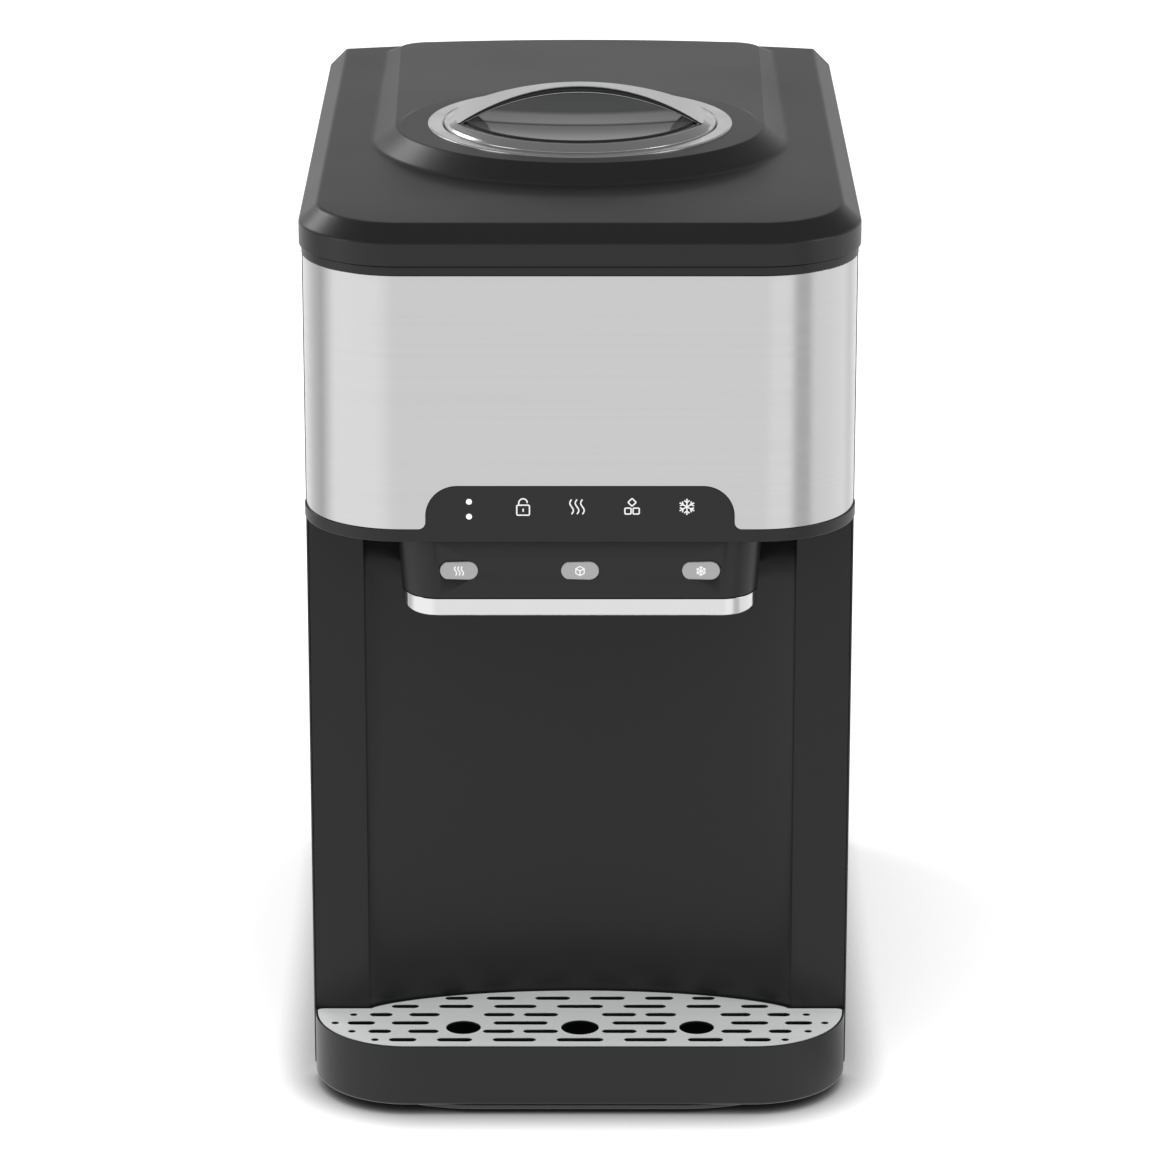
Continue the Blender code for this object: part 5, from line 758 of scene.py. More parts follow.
@dataclass
class TopCover:
    """The top cover: a bevelled lid with a raised part that carries the bottle seat."""

    half: float = 0.1513
    corner_r: float = 0.0553
    seam: float = 0.4877
    top: float = 0.5098
    bevel_width: float = 0.010
    bevel_height: float = 0.0095
    wall: float = 0.0025
    foot_r: float = 0.1165
    foot_front: float = 0.1071
    brow_r: float = 0.1035
    brow_front: float = 0.0966
    brow_side: float = 0.1082
    plateau_top: float = 0.5197
    rear_rise: float = 0.0042
    foot_inset: float = 0.0045
    brow_inset: float = 0.012
    plateau_corner: float = 0.018
    bore_r: float = 0.0788
    crown_start: float = -0.165
    crown_drop: float = 0.0009
    edge_r: float = 0.0009
    skin: float = 0.0022

    def crowned(self, ring: Ring) -> Ring:
        """The ring let down a little towards the front, where the cover's top rolls off."""
        for point in ring:
            share = max(0.0, (self.crown_start - point.y) / (self.crown_start - SIZE.front - self.bevel_width))
            point.z -= self.crown_drop * min(1.0, share) ** 2
        return ring

    def lid_ring(self, inset: float, height: float, deeper: float = 0.0) -> Ring:
        """The lid's outline at an inset of its front and sides.

        Args:
            inset: how far the front and the sides are drawn in.
            height: how high the ring is.
            deeper: how much further the front is drawn in than the sides.

        Returns:
            The ring, whose rear is only eased at the top edge.
        """
        ease_r = self.edge_r
        over = max(0.0, height - (self.top - ease_r))
        rear_inset = ease_r - math.sqrt(max(0.0, ease_r ** 2 - over ** 2))
        if height == self.seam and inset > self.wall / 2:
            rear_inset = inset
        if inset > self.bevel_width + 0.003:
            rear_inset = ease_r * 1.1 + max(0.0, inset - 0.0145) * 0.05
        plan = body_plan(self.half - inset, SIZE.front + inset + deeper, self.corner_r - inset, rear_inset)
        ring = level(plan, height)
        return self.crowned(ring) if height > self.top - 0.003 else ring

    def plateau_plan(self, radius: float, depth: float, side: float, rear_inset: float) -> Ring:
        """The raised part in plan.

        Args:
            radius: half its width where its round front starts.
            depth: how far the round front reaches from there.
            side: half its width at the rear.
            rear_inset: how far its rear is in front of the body's.

        Returns:
            The outline's points.
        """
        corner = self.plateau_corner
        rear = SIZE.rear_y(side - corner) - rear_inset
        plan = Plan([(-radius, SIZE.seat_y), (radius, SIZE.seat_y), (side, rear), (-side, rear)])
        plan.round_both((side, rear), corner, 12)
        plan.curve((side - corner, rear), REAR_CUTS, lambda x: SIZE.rear_y(x) - rear_inset)
        plan.curve(
            (-radius, SIZE.seat_y), 71, lambda x: SIZE.seat_y - depth * math.sqrt(max(0.0, 1 - (x / radius) ** 2)),
            eased=True,
        )
        return parted(plan.points((-radius, SIZE.seat_y)), 0.05, 36)

    def brow_height(self, y: float) -> float:
        """The height of the raised part's top, which falls towards the rear."""
        fall = max(0.0, (y - SIZE.seat_y) / (SIZE.rear - self.brow_inset - SIZE.seat_y))
        return self.plateau_top + (self.top + self.rear_rise - self.plateau_top) * fall

    def plateau_rings(self) -> list[Ring]:
        """The rings of the raised part, from its foot up and in to the seat's bore."""
        foot = self.plateau_plan(self.foot_r, self.foot_front, self.foot_r, self.foot_inset)
        brow = self.plateau_plan(self.brow_r, self.brow_front, self.brow_side, self.brow_inset)
        slope = soften([(-0.28, 0, 0), (0.0, 0.0, 0.45), (1.0, 1.0, 0.12), (1.10, 1.0, 0)], 7)
        rings = []
        for across, up in slope:
            ring = []
            for outer, inner in zip(foot, brow):
                place = outer + (inner - outer) * across
                height = self.top + (self.brow_height(inner.y) - self.top) * up
                ring.append(Vector((place.x, place.y, height)))
            rings.append(ring)
        middle = Vector((0.0, SIZE.seat_y, 0.0))
        steps = ((0.0022, 0.0), (0.0026, 0.10), (0.0032, 0.42), (0.0040, 0.85), (0.0048, 1.0))
        for inset, up in steps:
            ring = []
            wide, deep = self.brow_r - inset, self.brow_front - inset
            for point in brow:
                way = (point - middle).normalized()
                place = middle + way / math.hypot(way.x / wide, way.y / deep)
                below = self.brow_height(place.y)
                ring.append(Vector((place.x, place.y, below + (self.plateau_top - below) * up)))
            rings.append(ring)
        for radius, height in ((self.bore_r + 0.0005, 0.0), (self.bore_r, -0.0005), (self.bore_r, -0.010)):
            ring = [middle + (point - middle).normalized() * radius for point in brow]
            rings.append(level(ring, self.plateau_top + height))
        return rings

    def build(self) -> None:
        """Build the cover as one skin and give it a wall."""
        shape = bmesh.new()
        bevel_z = self.top - self.bevel_height
        edge = soften([
            (self.wall, self.seam, 0), (0.0, self.seam, 0.0004), (0.0, bevel_z, 0.0022),
            (self.bevel_width, self.top, 0.0035), (self.bevel_width + 0.0045, self.top, 0),
        ], 5)
        rings = [self.lid_ring(inset, height) for inset, height in edge]
        inward = ((0.0185, 0.004), (0.0225, 0.010), (0.0265, 0.018), (0.0300, 0.030))
        rings += [self.lid_ring(inset, self.top, deeper) for inset, deeper in inward]
        lid = grow(shape, rings)
        plateau = grow(shape, self.plateau_rings())
        fill(shape, lid[-1], plateau[0])
        publish(shape, "lid_shell", Finish.SATIN_BLACK, "top_cover", wall=self.skin)


@dataclass
class BottleSeat:
    """The silver ring and funnel that a bottle's neck stands in."""

    flange_r: float = 0.0855
    bore_r: float = 0.0765
    top: float = 0.5205

    def build(self) -> None:
        """Turn the seat in one piece."""
        bore = self.bore_r
        profile = soften([
            (self.flange_r, -0.0016, 0), (self.flange_r, -0.0002, 0.0004), (self.flange_r - 0.0010, 0.0, 0.0006),
            (bore + 0.0012, 0.0, 0.0006), (bore, -0.0012, 0.0006), (bore, -0.0040, 0.0002),
            (bore - 0.004, -0.0040, 0.0006), (bore - 0.004, -0.023, 0.004), (0.030, -0.046, 0.004),
            (0.009, -0.046, 0.0015), (0.009, -0.0275, 0.002), (0.006, -0.018, 0.001),
            (0.0035, -0.018, 0.0006), (0.0035, -0.0575, 0), (0.006, -0.058, 0), (0.006, -0.048, 0),
            (0.032, -0.048, 0.004), (bore - 0.002, -0.023, 0.004), (bore - 0.002, -0.006, 0.001),
            (bore + 0.002, -0.006, 0), (bore + 0.002, -0.0016, 0),
        ], 4)
        centre = (0.0, SIZE.seat_y, self.top)
        publish_turned("seat_ring", Finish.SILVER, profile, centre, steps=144, closed=True, stands_for="bottle_seat")


@dataclass
class DustCover:
    """The round cover in the seat: a dark bowl in a silver shoulder, under an arched grip."""

    outer_r: float = 0.0762
    mouth_r: float = 0.0665
    rise: float = 0.0036
    rim_rise: float = 0.0044
    # The width of the dark ring that paints the shade of the gap round the bowl.
    gap_shade: float = 0.0015
    bowl_depth: float = 0.0032
    bowl_edge: float = 0.0040
    grip_reach: float = 0.068
    grip_top: float = 0.0216
    grip_end: float = 0.0040
    grip_width: float = 0.0110
    grip_spread: float = 7.56
    grip_circle: float = 0.0713
    grip_t: float = 0.0043
    grip_thinning: float = 0.0029
    base: float = 0.5205

    def ring(self, name: str, finish: Finish, profile: Sequence[Pair], closed: bool, stands_for: str = "") -> None:
        """Turn one of the cover's round pieces."""
        centre = (0.0, SIZE.seat_y, self.base)
        publish_turned(name, finish, profile, centre, Axis.UPRIGHT, 160, closed, stands_for, Part.DUST_COVER)

    def build_shoulder(self) -> None:
        """Turn the silver shoulder with its skirt."""
        mouth, rise, outer = self.mouth_r, self.rise, self.outer_r
        profile = soften([
            (mouth - 0.0006, 0.0012, 0), (mouth - 0.0006, rise - 0.0002, 0.0002), (mouth, rise, 0.0004),
            (0.0708, rise, 0.0030), (0.0750, 0.0014, 0.0012), (outer, 0.0002, 0.0007), (outer, -0.0037, 0.0004),
            (outer - 0.002, -0.0037, 0.0004), (outer - 0.002, 0.0, 0.0006), (0.0700, 0.0012, 0.0010),
        ], 6)
        self.ring("cover_shoulder", Finish.SILVER, profile, True)

    def build_bowl(self) -> None:
        """Turn the shallow round bowl, and the dark ring that stands round it on the shoulder: a painted shadow of
        the gap between bowl and shoulder.
        """
        edge_r, drop, steps = self.mouth_r - self.gap_shade, self.bowl_depth, 24
        radius = (edge_r ** 2 + drop ** 2) / (2 * drop)
        hollow = []
        for step in range(steps + 1):
            across = (edge_r - 0.0012) * step / steps
            hollow.append((across, self.bowl_edge - drop + radius - math.sqrt(radius ** 2 - across ** 2)))
        top = self.rim_rise
        rim = soften([
            hollow[-1] + (0.0,), (edge_r, self.bowl_edge, 0.0008), (edge_r + 0.0002, top, 0.0002),
            (edge_r + 0.0006, top, 0), (edge_r + 0.0006, 0.0004, 0), (edge_r - 0.004, 0.0, 0.001),
        ], 5)
        under = [(across, height - 0.0022) for across, height in reversed(hollow) if across < edge_r - 0.006]
        self.ring("cover_bowl", Finish.SMOKE, hollow[:-1] + rim + under, False, "dust_cover")
        # A dark ring in place of the shaded gap between bowl and shoulder: painted shade.
        gap_shade = soften([
            (edge_r + 0.0004, 0.0016, 0), (edge_r + 0.0004, top, 0.0001), (self.mouth_r, top, 0.0002),
            (self.mouth_r, 0.0016, 0),
        ], 3)
        self.ring("cover_gap_shade", Finish.DARK_RUBBER, gap_shade, True)

    def grip_ring(self, x: float, low: float, high: float, inset: float) -> Ring:
        """A layer of the grip's section at a place across.

        Args:
            x: the place across.
            low: the layer's underside, as a share of the grip's thickness there.
            high: the layer's upper side, as a share of the grip's thickness there.
            inset: how far the layer's long sides are drawn in.

        Returns:
            The section's ring.
        """
        share = min(1.0, abs(x) / self.grip_reach)
        chord = self.grip_top - self.grip_end
        radius = (self.grip_reach ** 2 + chord ** 2) / (2 * chord)
        top = self.grip_end + math.sqrt(radius ** 2 - x ** 2) - (radius - chord)
        half = (self.grip_width + self.grip_spread * x ** 2) / 2
        half = min(half, math.sqrt(self.grip_circle ** 2 - x ** 2)) - inset
        deep = self.grip_t - self.grip_thinning * share ** 2
        low, high = low * deep, high * deep
        plan = Plan([(-half, low), (half, low), (half, high), (-half, high)])
        for height in (low, high):
            plan.round_both((half, height), min(0.0008, (high - low) * 0.4), 4)
        points = plan.points((-half, high))
        return [Vector((x, SIZE.seat_y + point.x, self.base + top + point.y)) for point in points]

    def build_grip(self) -> None:
        """Grow the grip's layers from one foot over the crown to the other."""
        reach = self.grip_reach + 0.0028
        places = [reach * math.sin(math.pi / 2 * step / 28) for step in range(-28, 29)]
        # The groove layer under the cap is set in a little, which gives some real shade, and its dark finish paints
        # the shadow under the cap's overhang.
        layers = (
            ("grip_lip", Finish.SILVER, -1.0, -0.76, 0.0), ("grip_core", Finish.SMOKE, -0.78, -0.40, 0.0002),
            ("grip_groove_painted_shade", Finish.DARK_RUBBER, -0.42, -0.13, 0.0006), ("grip_cap", Finish.SILVER, -0.15, 0.0, 0.0),
        )
        for name, finish, low, high, inset in layers:
            rings = [self.grip_ring(x, low, high, inset) for x in places]
            publish_grown(name, finish, rings, part=Part.DUST_COVER)

    def build(self) -> None:
        """Build the cover."""
        self.build_shoulder()
        self.build_bowl()
        self.build_grip()


def outlet_holes(chute: Pair) -> list[Ring]:
    """The outlines of the chute's hole, of this half width and depth, and of the spouts' two round holes."""
    spouts = [disc((side * SIZE.outlet_x, SIZE.outlet_y), 0.0063) for side in (-1, 1)]
    return [Plan(box((0.0, SIZE.chute_y), chute)).points((0, 0)), *spouts]


@dataclass
class UpperBody:
    """The rim, the steel sheet and the trim with its raised panel."""

    steel_half: float = 0.1493
    steel_bottom: float = 0.3421
    steel_top: float = 0.4821
    steel_t: float = 0.0008
    trim_bottom: float = 0.3348
    trim_top: float = 0.3418
    trim_t: float = 0.003
    rim_bottom: float = 0.4824
    rim_top: float = 0.4874
    panel_half: float = 0.083
    panel_height: float = 0.0243
    panel_round: float = 0.017
    panel_flare: float = 0.004
    light_x: float = -0.0595

    def panel_path(self, inset: float) -> Ring:
        """The raised panel's edge from its left foot to its right one.

        Args:
            inset: how far it is drawn in.

        Returns:
            The path's points, across and up.
        """
        half, foot = self.panel_half - inset, self.steel_bottom
        top = foot + self.panel_height - inset
        wide = half + self.panel_flare + inset
        low = foot - 0.002
        plan = Plan([
            (-wide, low), (wide, low), (wide, foot), (half, foot), (half, top), (-half, top), (-half, foot),
            (-wide, foot),
        ])
        plan.round_both((half, top), self.panel_round - inset, 18)
        plan.round_both((half, foot), self.panel_flare * 0.97, 8)
        points = plan.points((-wide, foot))
        return [points[0]] + [point for point in points[:0:-1] if point.y > low + 0.001]

    def wrapped(self, half: float, front: float, radius: float, levels: Sequence[float],
                outline: Callable[[Ring], Ring]) -> Mesh:
        """A sheet round the front, whose flat middle gets an outline of its own.

        Args:
            half: half its width.
            front: where its front is.
            radius: the corners' radius.
            levels: its lower and its upper edge.
            outline: turns the middle's four corners into its outline, all lying in the front.

        Returns:
            The sheet, still without thickness.
        """
        path = wrap_plan(half, front, radius, SIZE.column_y - SIZE.gap)
        shape = bmesh.new()
        rows = grow(shape, [level(path, height) for height in levels], closed=False)
        shape.normal_update()
        middle = max((f for f in shape.faces if abs(f.normal.y) > 0.9), key=lambda face: face.calc_area())
        low = sorted((v for v in middle.verts if v in rows[0]), key=lambda vert: vert.co.x)
        high = sorted((v for v in middle.verts if v in rows[-1]), key=lambda vert: vert.co.x)
        bmesh.ops.delete(shape, geom=[middle], context="FACES_ONLY")
        bridges = [shape.edges.get(pair) for pair in ((low[0], low[1]), (high[0], high[1]))]
        bmesh.ops.delete(shape, geom=[edge for edge in bridges if edge and not edge.link_faces], context="EDGES")
        corners = {tuple(vert.co): vert for vert in low + high}
        ring = outline([low[0].co.copy(), low[1].co.copy(), high[1].co.copy(), high[0].co.copy()])
        verts = [corners.get(tuple(point)) or shape.verts.new(point) for point in ring]
        shape.faces.new(verts)
        bmesh.ops.recalc_face_normals(shape, faces=shape.faces)
        return shape

    def build_steel(self) -> None:
        """Bend the steel sheet round the front, with the notch for the panel."""
        notch = upright(self.panel_path(0.0), SIZE.face)
        levels = (self.steel_bottom, self.steel_top)
        shape = self.wrapped(
            self.steel_half, SIZE.face, SIZE.corner_r, levels, lambda ring: [ring[0], *notch, *ring[1:]],
        )
        publish(shape, "steel_wrap", Finish.FRONT_STEEL, "steel_front", wall=self.steel_t)

    def build_trim(self) -> None:
        """Mould the trim band and its raised panel in one, with the niche's ceiling behind it."""
        front, half, radius = SIZE.face - SIZE.gap, SIZE.half + SIZE.gap, SIZE.corner_r + SIZE.gap
        tab = upright(self.panel_path(SIZE.gap), front)
        levels = (self.trim_bottom, self.trim_top)
        shape = self.wrapped(half, front, radius, levels, lambda ring: [*ring[:3], *reversed(tab), ring[3]])
        bmesh.ops.delete(shape, geom=[vert for vert in shape.verts if not vert.link_faces], context="VERTS")
        bmesh.ops.solidify(shape, geom=shape.faces[:], thickness=self.trim_t)
        bmesh.ops.recalc_face_normals(shape, faces=shape.faces)
        low = self.trim_bottom + 0.0002
        ease(shape, 0.0010, 4, where=lambda place: place.z < low, clamp=False)
        ease(shape, 0.0003, 2, where=lambda place: place.z > low + 0.002, clamp=False)
        publish(shape, "trim_band", Finish.SATIN_BLACK, "front_trim")
        self.build_ceiling()

    def build_ceiling(self) -> None:
        """Cut the niche's ceiling, with its holes for the chute and the spouts."""
        shape, z = bmesh.new(), self.trim_bottom + 0.0002
        inset, rear, wide = 0.0012, -0.1398, 0.1487
        half, front = SIZE.half - inset, SIZE.face + inset
        plan = Plan([
            (-wide, rear), (-wide, SIZE.column_y), (-half, SIZE.column_y), (-half, front), (half, front),
            (half, SIZE.column_y), (wide, SIZE.column_y), (wide, rear),
        ]).round_both((half, front), SIZE.corner_r - inset)
        rings = [plan.points((-wide, rear)), *outlet_holes((0.0188, 0.0148))]
        fill(shape, *[drawn(shape, level(ring, z)) for ring in rings])
        thicken(shape, Vector((0.0, 0.0, 0.0023)))
        publish(shape, "niche_ceiling", Finish.NICHE_BLACK)

    def build_rim(self) -> None:
        """Grow the rim under the top cover."""
        low, high, width = self.rim_bottom, self.rim_top, 0.006
        rings = []
        for inset, height in soften([(width, low, 0), (0.0, low, 0.0006), (0.0, high, 0.0006), (width, high, 0)], 3):
            plan = body_plan(SIZE.half - inset, SIZE.face + inset, SIZE.corner_r - inset, inset)
            rings.append(level(plan, height))
        publish_grown("upper_rim", Finish.SATIN_BLACK, rings, "upper_frame", tube=True)

    def build_lights(self) -> None:
        """Turn the two light lenses of the panel."""
        profile = soften([
            (0.0, 0.0, 0), (0.0015, 0.0, 0.0004), (0.0018, 0.0005, 0), (0.0018, 0.003, 0), (0.0, 0.003, 0),
        ], 4)
        for name, z in (("power", 0.3576), ("refill", 0.3493)):
            centre = (self.light_x, SIZE.face - SIZE.gap - 0.0002, z)
            publish_turned(
                f"{name}_lens", Finish.LENS, profile, centre, Axis.REARWARD, 32, stands_for=f"{name}_light",
            )

    def build(self) -> None:
        """Build the upper body."""
        self.build_steel()
        self.build_trim()
        self.build_rim()
        self.build_lights()


Stroke = tuple[list[Pair], bool]


class Sign(Enum):
    """The plain pictograms printed on the panel and on the buttons, in millimetres from their middle."""

    PADLOCK = "padlock"
    HEAT = "heat"
    BLOCKS = "blocks"
    FLAKE = "flake"
    CUBE = "cube"

    def strokes(self) -> list[Stroke]:
        """The pictogram's strokes, each with its points and whether it is closed."""
        return {
            "padlock": padlock_strokes, "heat": heat_strokes, "blocks": block_strokes,
            "flake": flake_strokes, "cube": cube_strokes,
        }[self.value]()


def arc_points(centre: Pair, radius: float, start: float, end: float, steps: int = 12) -> list[Pair]:
    """Points on an arc."""
    points = []
    for step in range(steps + 1):
        angle = math.radians(start + (end - start) * step / steps)
        points.append((centre[0] + radius * math.cos(angle), centre[1] + radius * math.sin(angle)))
    return points


def rounded_box(centre: Pair, half: Pair, radius: float, turned: float = 0.0) -> Stroke:
    """A closed stroke round a box with round corners.

    Args:
        centre: the box's middle.
        half: half its width and half its height.
        radius: its corners' radius.
        turned: how far it is turned, in degrees.

    Returns:
        The stroke.
    """
    points = []
    for quarter, (side, up) in enumerate(((1, 1), (-1, 1), (-1, -1), (1, -1))):
        corner = (side * (half[0] - radius), up * (half[1] - radius))
        points += arc_points(corner, radius, 90 * quarter, 90 * quarter + 90, 4)
    angle = math.radians(turned)
    cos, sin = math.cos(angle), math.sin(angle)
    return ([(centre[0] + x * cos - y * sin, centre[1] + x * sin + y * cos) for x, y in points], True)


def padlock_strokes() -> list[Stroke]:
    """An open padlock."""
    shackle = [(-2.3, 0.9), (-2.3, 2.2)] + arc_points((0.0, 2.2), 2.3, 180, 20) + [(2.2, 2.1)]
    return [rounded_box((0.0, -1.9), (3.4, 2.8), 0.7), (shackle, False), ([(0.0, -1.0), (0.0, -2.8)], False)]


def heat_strokes() -> list[Stroke]:
    """Three rising waves."""
    strokes = []
    for middle in (-2.9, 0.0, 2.9):
        points = []
        for step in range(25):
            share = step / 24
            points.append((middle + 0.95 * math.sin(2 * math.pi * share), -4.1 + 8.2 * share))
        strokes.append((points, False))
    return strokes


def block_strokes() -> list[Stroke]:
    """A diamond over two squares."""
    return [
        rounded_box((0.0, 2.5), (1.55, 1.55), 0.35, 45.0),
        rounded_box((-2.2, -2.4), (1.65, 1.65), 0.5),
        rounded_box((2.2, -2.4), (1.65, 1.65), 0.5),
    ]


def flake_strokes() -> list[Stroke]:
    """A snow crystal with six arms."""
    strokes = []
    for arm in range(6):
        angle = math.radians(90 + 60 * arm)
        out = (math.cos(angle), math.sin(angle))
        strokes.append(([(0.0, 0.0), (4.5 * out[0], 4.5 * out[1])], False))
        tips = []
        for side in (-1, 1):
            lean = angle + side * math.radians(48)
            tips.append((2.3 * out[0] + 1.9 * math.cos(lean), 2.3 * out[1] + 1.9 * math.sin(lean)))
        strokes.append(([tips[0], (2.3 * out[0], 2.3 * out[1]), tips[1]], False))
    return strokes


def cube_strokes() -> list[Stroke]:
    """A cube seen over one corner."""
    rim = arc_points((0.0, 0.0), 4.2, 90, 390, 5)
    spokes = [([(0.0, 0.0), rim[index]], False) for index in (1, 3, 5)]
    return [(rim, True)] + spokes


@dataclass
class Print:
    """A pictogram printed on a face that looks forwards."""

    name: str
    sign: Sign
    centre: Triple
    scale: float = 1.0
    stroke: float = 0.00075
    height: float = 0.00012
    part: Part = Part.HOUSING

    def build(self) -> None:
        """Draw the strokes, flatten them and set them on the face."""
        curve = bpy.data.curves.new(self.name, "CURVE")
        curve.dimensions = "3D"
        curve.bevel_depth = self.stroke / 2
        curve.bevel_resolution = 2
        curve.use_fill_caps = True
        for points, closed in self.sign.strokes():
            spline = curve.splines.new("POLY")
            spline.points.add(len(points) - 1)
            spline.use_cyclic_u = closed
            for knot, (across, up) in zip(spline.points, points):
                knot.co = (across * self.scale / 1000, up * self.scale / 1000, 0.0, 1.0)
        holder = bpy.data.objects.new(self.name, curve)
        bpy.context.scene.collection.objects.link(holder)
        view = bpy.context.evaluated_depsgraph_get()
        mesh = bpy.data.meshes.new_from_object(holder.evaluated_get(view))
        shape = bmesh.new()
        shape.from_mesh(mesh)
        bpy.data.objects.remove(holder)
        bpy.data.curves.remove(curve)
        bpy.data.meshes.remove(mesh)
        flat = self.height / (self.stroke / 2)
        centre = Vector(self.centre)
        for vert in shape.verts:
            vert.co = centre + Vector((vert.co.x, -vert.co.z * flat, vert.co.y))
        publish(shape, self.name, Finish.PRINT_WHITE, part=self.part)


@dataclass
class DispenserHead:
    """The head over the niche: its housing, bright band, buttons and outlets."""

    top: float = 0.3345
    band_top: float = 0.3014
    bottom: float = 0.2907
    half: float = 0.0988
    taper: float = 0.0021
    front: float = -0.2237
    corner_r: float = 0.0203
    corner_stretch: float = 1.24
    button_z: float = 0.3175
    button_length: float = 0.0211
    button_height: float = 0.0107
    rear_cuts: int = 15
    band_t: float = 0.0004
    wall: float = 0.0022

    def plan(self, inset: float, height: float) -> Ring:
        """The head's outline at an inset and a height, from the left end of its rear.

        Args:
            inset: how far the front and the sides are drawn in.
            height: how high the ring is.

        Returns:
            The ring.
        """
        share = min(1.0, (self.top - height) / (self.top - self.band_top))
        half = self.half - self.taper * share - inset
        front = self.front + inset
        rear = SIZE.niche_y(half) - 0.0005
        plan = Plan([(-half, rear), (-half, front), (half, front), (half, rear)])
        radius = max(0.001, self.corner_r - inset)
        plan.round_both((half, front), radius, 16)
        for vert in plan.shape.verts:
            if vert.co.y < front + radius + 1e-6:
                vert.co.y = front + (vert.co.y - front) * self.corner_stretch
        plan.curve((half, rear), self.rear_cuts, lambda x: SIZE.niche_y(x) - 0.0005)
        return level(plan.points((-half, rear)), height)

    def build_housing(self) -> None:
        """Mould the housing, with its button holes and its floor."""
        shape = bmesh.new()
        skirt, low, floor = 0.0015, self.band_top + SIZE.gap, self.bottom + self.band_t
        section = soften([
            (0.0031, floor, 0), (skirt, 0.2938, 0.0004), (skirt, low, 0.0002), (0.0, low, 0.0007),
            (0.0, self.top, 0),
        ], 4)
        rows = grow(shape, [self.plan(inset, height) for inset, height in section])
        shape.normal_update()
        wide = [face for face in shape.faces if abs(face.normal.y) > 0.99 and face.calc_area() > 0.002]
        middle = max(wide, key=lambda face: face.calc_area())
        loops = [list(middle.verts)]
        bmesh.ops.delete(shape, geom=[middle], context="FACES_ONLY")
        for x in (-SIZE.outlet_x, 0.0, SIZE.outlet_x):
            hole = pill((x, self.button_z), self.button_length, self.button_height)
            loops.append(drawn(shape, upright(hole, self.front)))
        fill(shape, *loops)
        fill(shape, rows[0], *[drawn(shape, level(hole, floor)) for hole in outlet_holes((0.0203, 0.0163))])
        publish(shape, "head_housing", Finish.SATIN_BLACK, "dispenser_head", wall=self.wall)

    def build_band(self) -> None:
        """Form the bright band, with its lip turned in under the head."""
        low, lip = self.bottom, self.bottom + self.band_t
        section = soften([
            (0.0013, 0.2955, 0), (0.0050, lip, 0.0032), (0.0052, lip, 0), (0.0052, low, 0), (0.0, low, 0.0036),
            (0.0, self.band_top, 0.0003), (0.0012, self.band_top, 0),
        ], 8)
        rings = [self.plan(inset, height)[:-self.rear_cuts] for inset, height in section]
        publish_grown("head_band", Finish.BRIGHT_PLATE, rings, "chrome_band", closed=False, tube=True)

    def build_button(self, name: str, x: float, sign: Sign, part: Part) -> None:
        """Mould one button with the flange behind it, and print its pictogram.

        Args:
            name: what it dispenses.
            x: its place across.
            sign: its pictogram.
            part: the body that it rides on.
        """
        shape = bmesh.new()
        length, height = self.button_length - 2 * SIZE.gap, self.button_height - 2 * SIZE.gap
        face = self.front - 0.0008
        key = ((0.0, self.front + 0.0040), (0.0, face + 0.0005), (0.0001, face + 0.0003), (0.0003, face + 0.0001),
               (0.0006, face), (0.0014, face))
        flange = ((-0.0013, self.front + 0.0028), (-0.0013, self.front + 0.0038))
        for section in (key, flange):
            rings = []
            for inset, depth in section:
                outline = pill((x, self.button_z), length - 2 * inset, height - 2 * inset)
                rings.append(upright(outline, depth))
            grow(shape, rings, caps=True)
        publish(shape, f"{name}_key", Finish.KEY_GREY, f"{name}_button", part, sharp=60.0)
        Print(f"{name}_sign", sign, (x, face, self.button_z), 0.62, 0.00070, 0.00008, part).build()

    def build_spouts(self) -> None:
        """Turn the two spouts."""
        top, bore = 0.3406, 0.0042
        profile = soften([
            (0.006, top, 0), (0.006, 0.2958, 0), (0.009, 0.2958, 0.0003), (0.009, 0.2938, 0.0003),
            (0.006, 0.2938, 0.0004), (0.0054, 0.2877, 0.0006), (bore, 0.2877, 0.0004), (bore, top, 0),
        ], 3)
        for name, x in (("hot", -SIZE.outlet_x), ("cold", SIZE.outlet_x)):
            publish_turned(
                f"{name}_nozzle", Finish.OUTLET_WHITE, profile, (x, SIZE.outlet_y, 0.0), steps=48, closed=True,
                stands_for=f"{name}_spout",
            )

    def build(self) -> None:
        """Build the head."""
        self.build_housing()
        self.build_band()
        self.build_button("hot", -SIZE.outlet_x, Sign.HEAT, Part.HOT_KEY)
        self.build_button("ice", 0.0, Sign.CUBE, Part.ICE_KEY)
        self.build_button("cold", SIZE.outlet_x, Sign.FLAKE, Part.COLD_KEY)
        self.build_spouts()
        publish_eased("ice_duct", Finish.OUTLET_WHITE, "ice_chute", 0.0003)
        publish_eased("duct_flap", Finish.SATIN_BLACK, "ice_flap", 0.0002, Part.FLAP)


@dataclass
class Niche:
    """The columns and the concave wall that a cup stands in front of."""

    edge: float = 0.1487
    wall: float = 0.0025
    top: float = 0.3345

    def path(self, behind: float) -> Ring:
        """The wall in plan, from the left edge to the right one.

        Args:
            behind: how far it is behind the front skin.

        Returns:
            The path's points.
        """
        half, front, rear = SIZE.niche_half, SIZE.column_y, SIZE.column_y + 0.060
        plan = Plan([(-self.edge, front), (-half, front), (half, front), (self.edge, front),
                     (self.edge, rear), (-self.edge, rear)])
        plan.curve((-half, front), 63, SIZE.niche_y, eased=True)
        plan.round_both((half, front), 0.0030, 6)
        points = [point for point in plan.points((-self.edge, front)) if point.y < rear - 0.001]
        return [Vector((point.x, point.y + behind, 0.0)) for point in points]

    def build(self) -> None:
        """Mould the liner from the base to the trim."""
        front, rear = self.path(0.0), self.path(self.wall)
        rings = [level(front, SIZE.stand_z), level(front, self.top), level(rear, self.top), level(rear, SIZE.stand_z)]
        publish_grown("niche_wall", Finish.NICHE_BLACK, rings, "niche_liner", closed=False, tube=True)


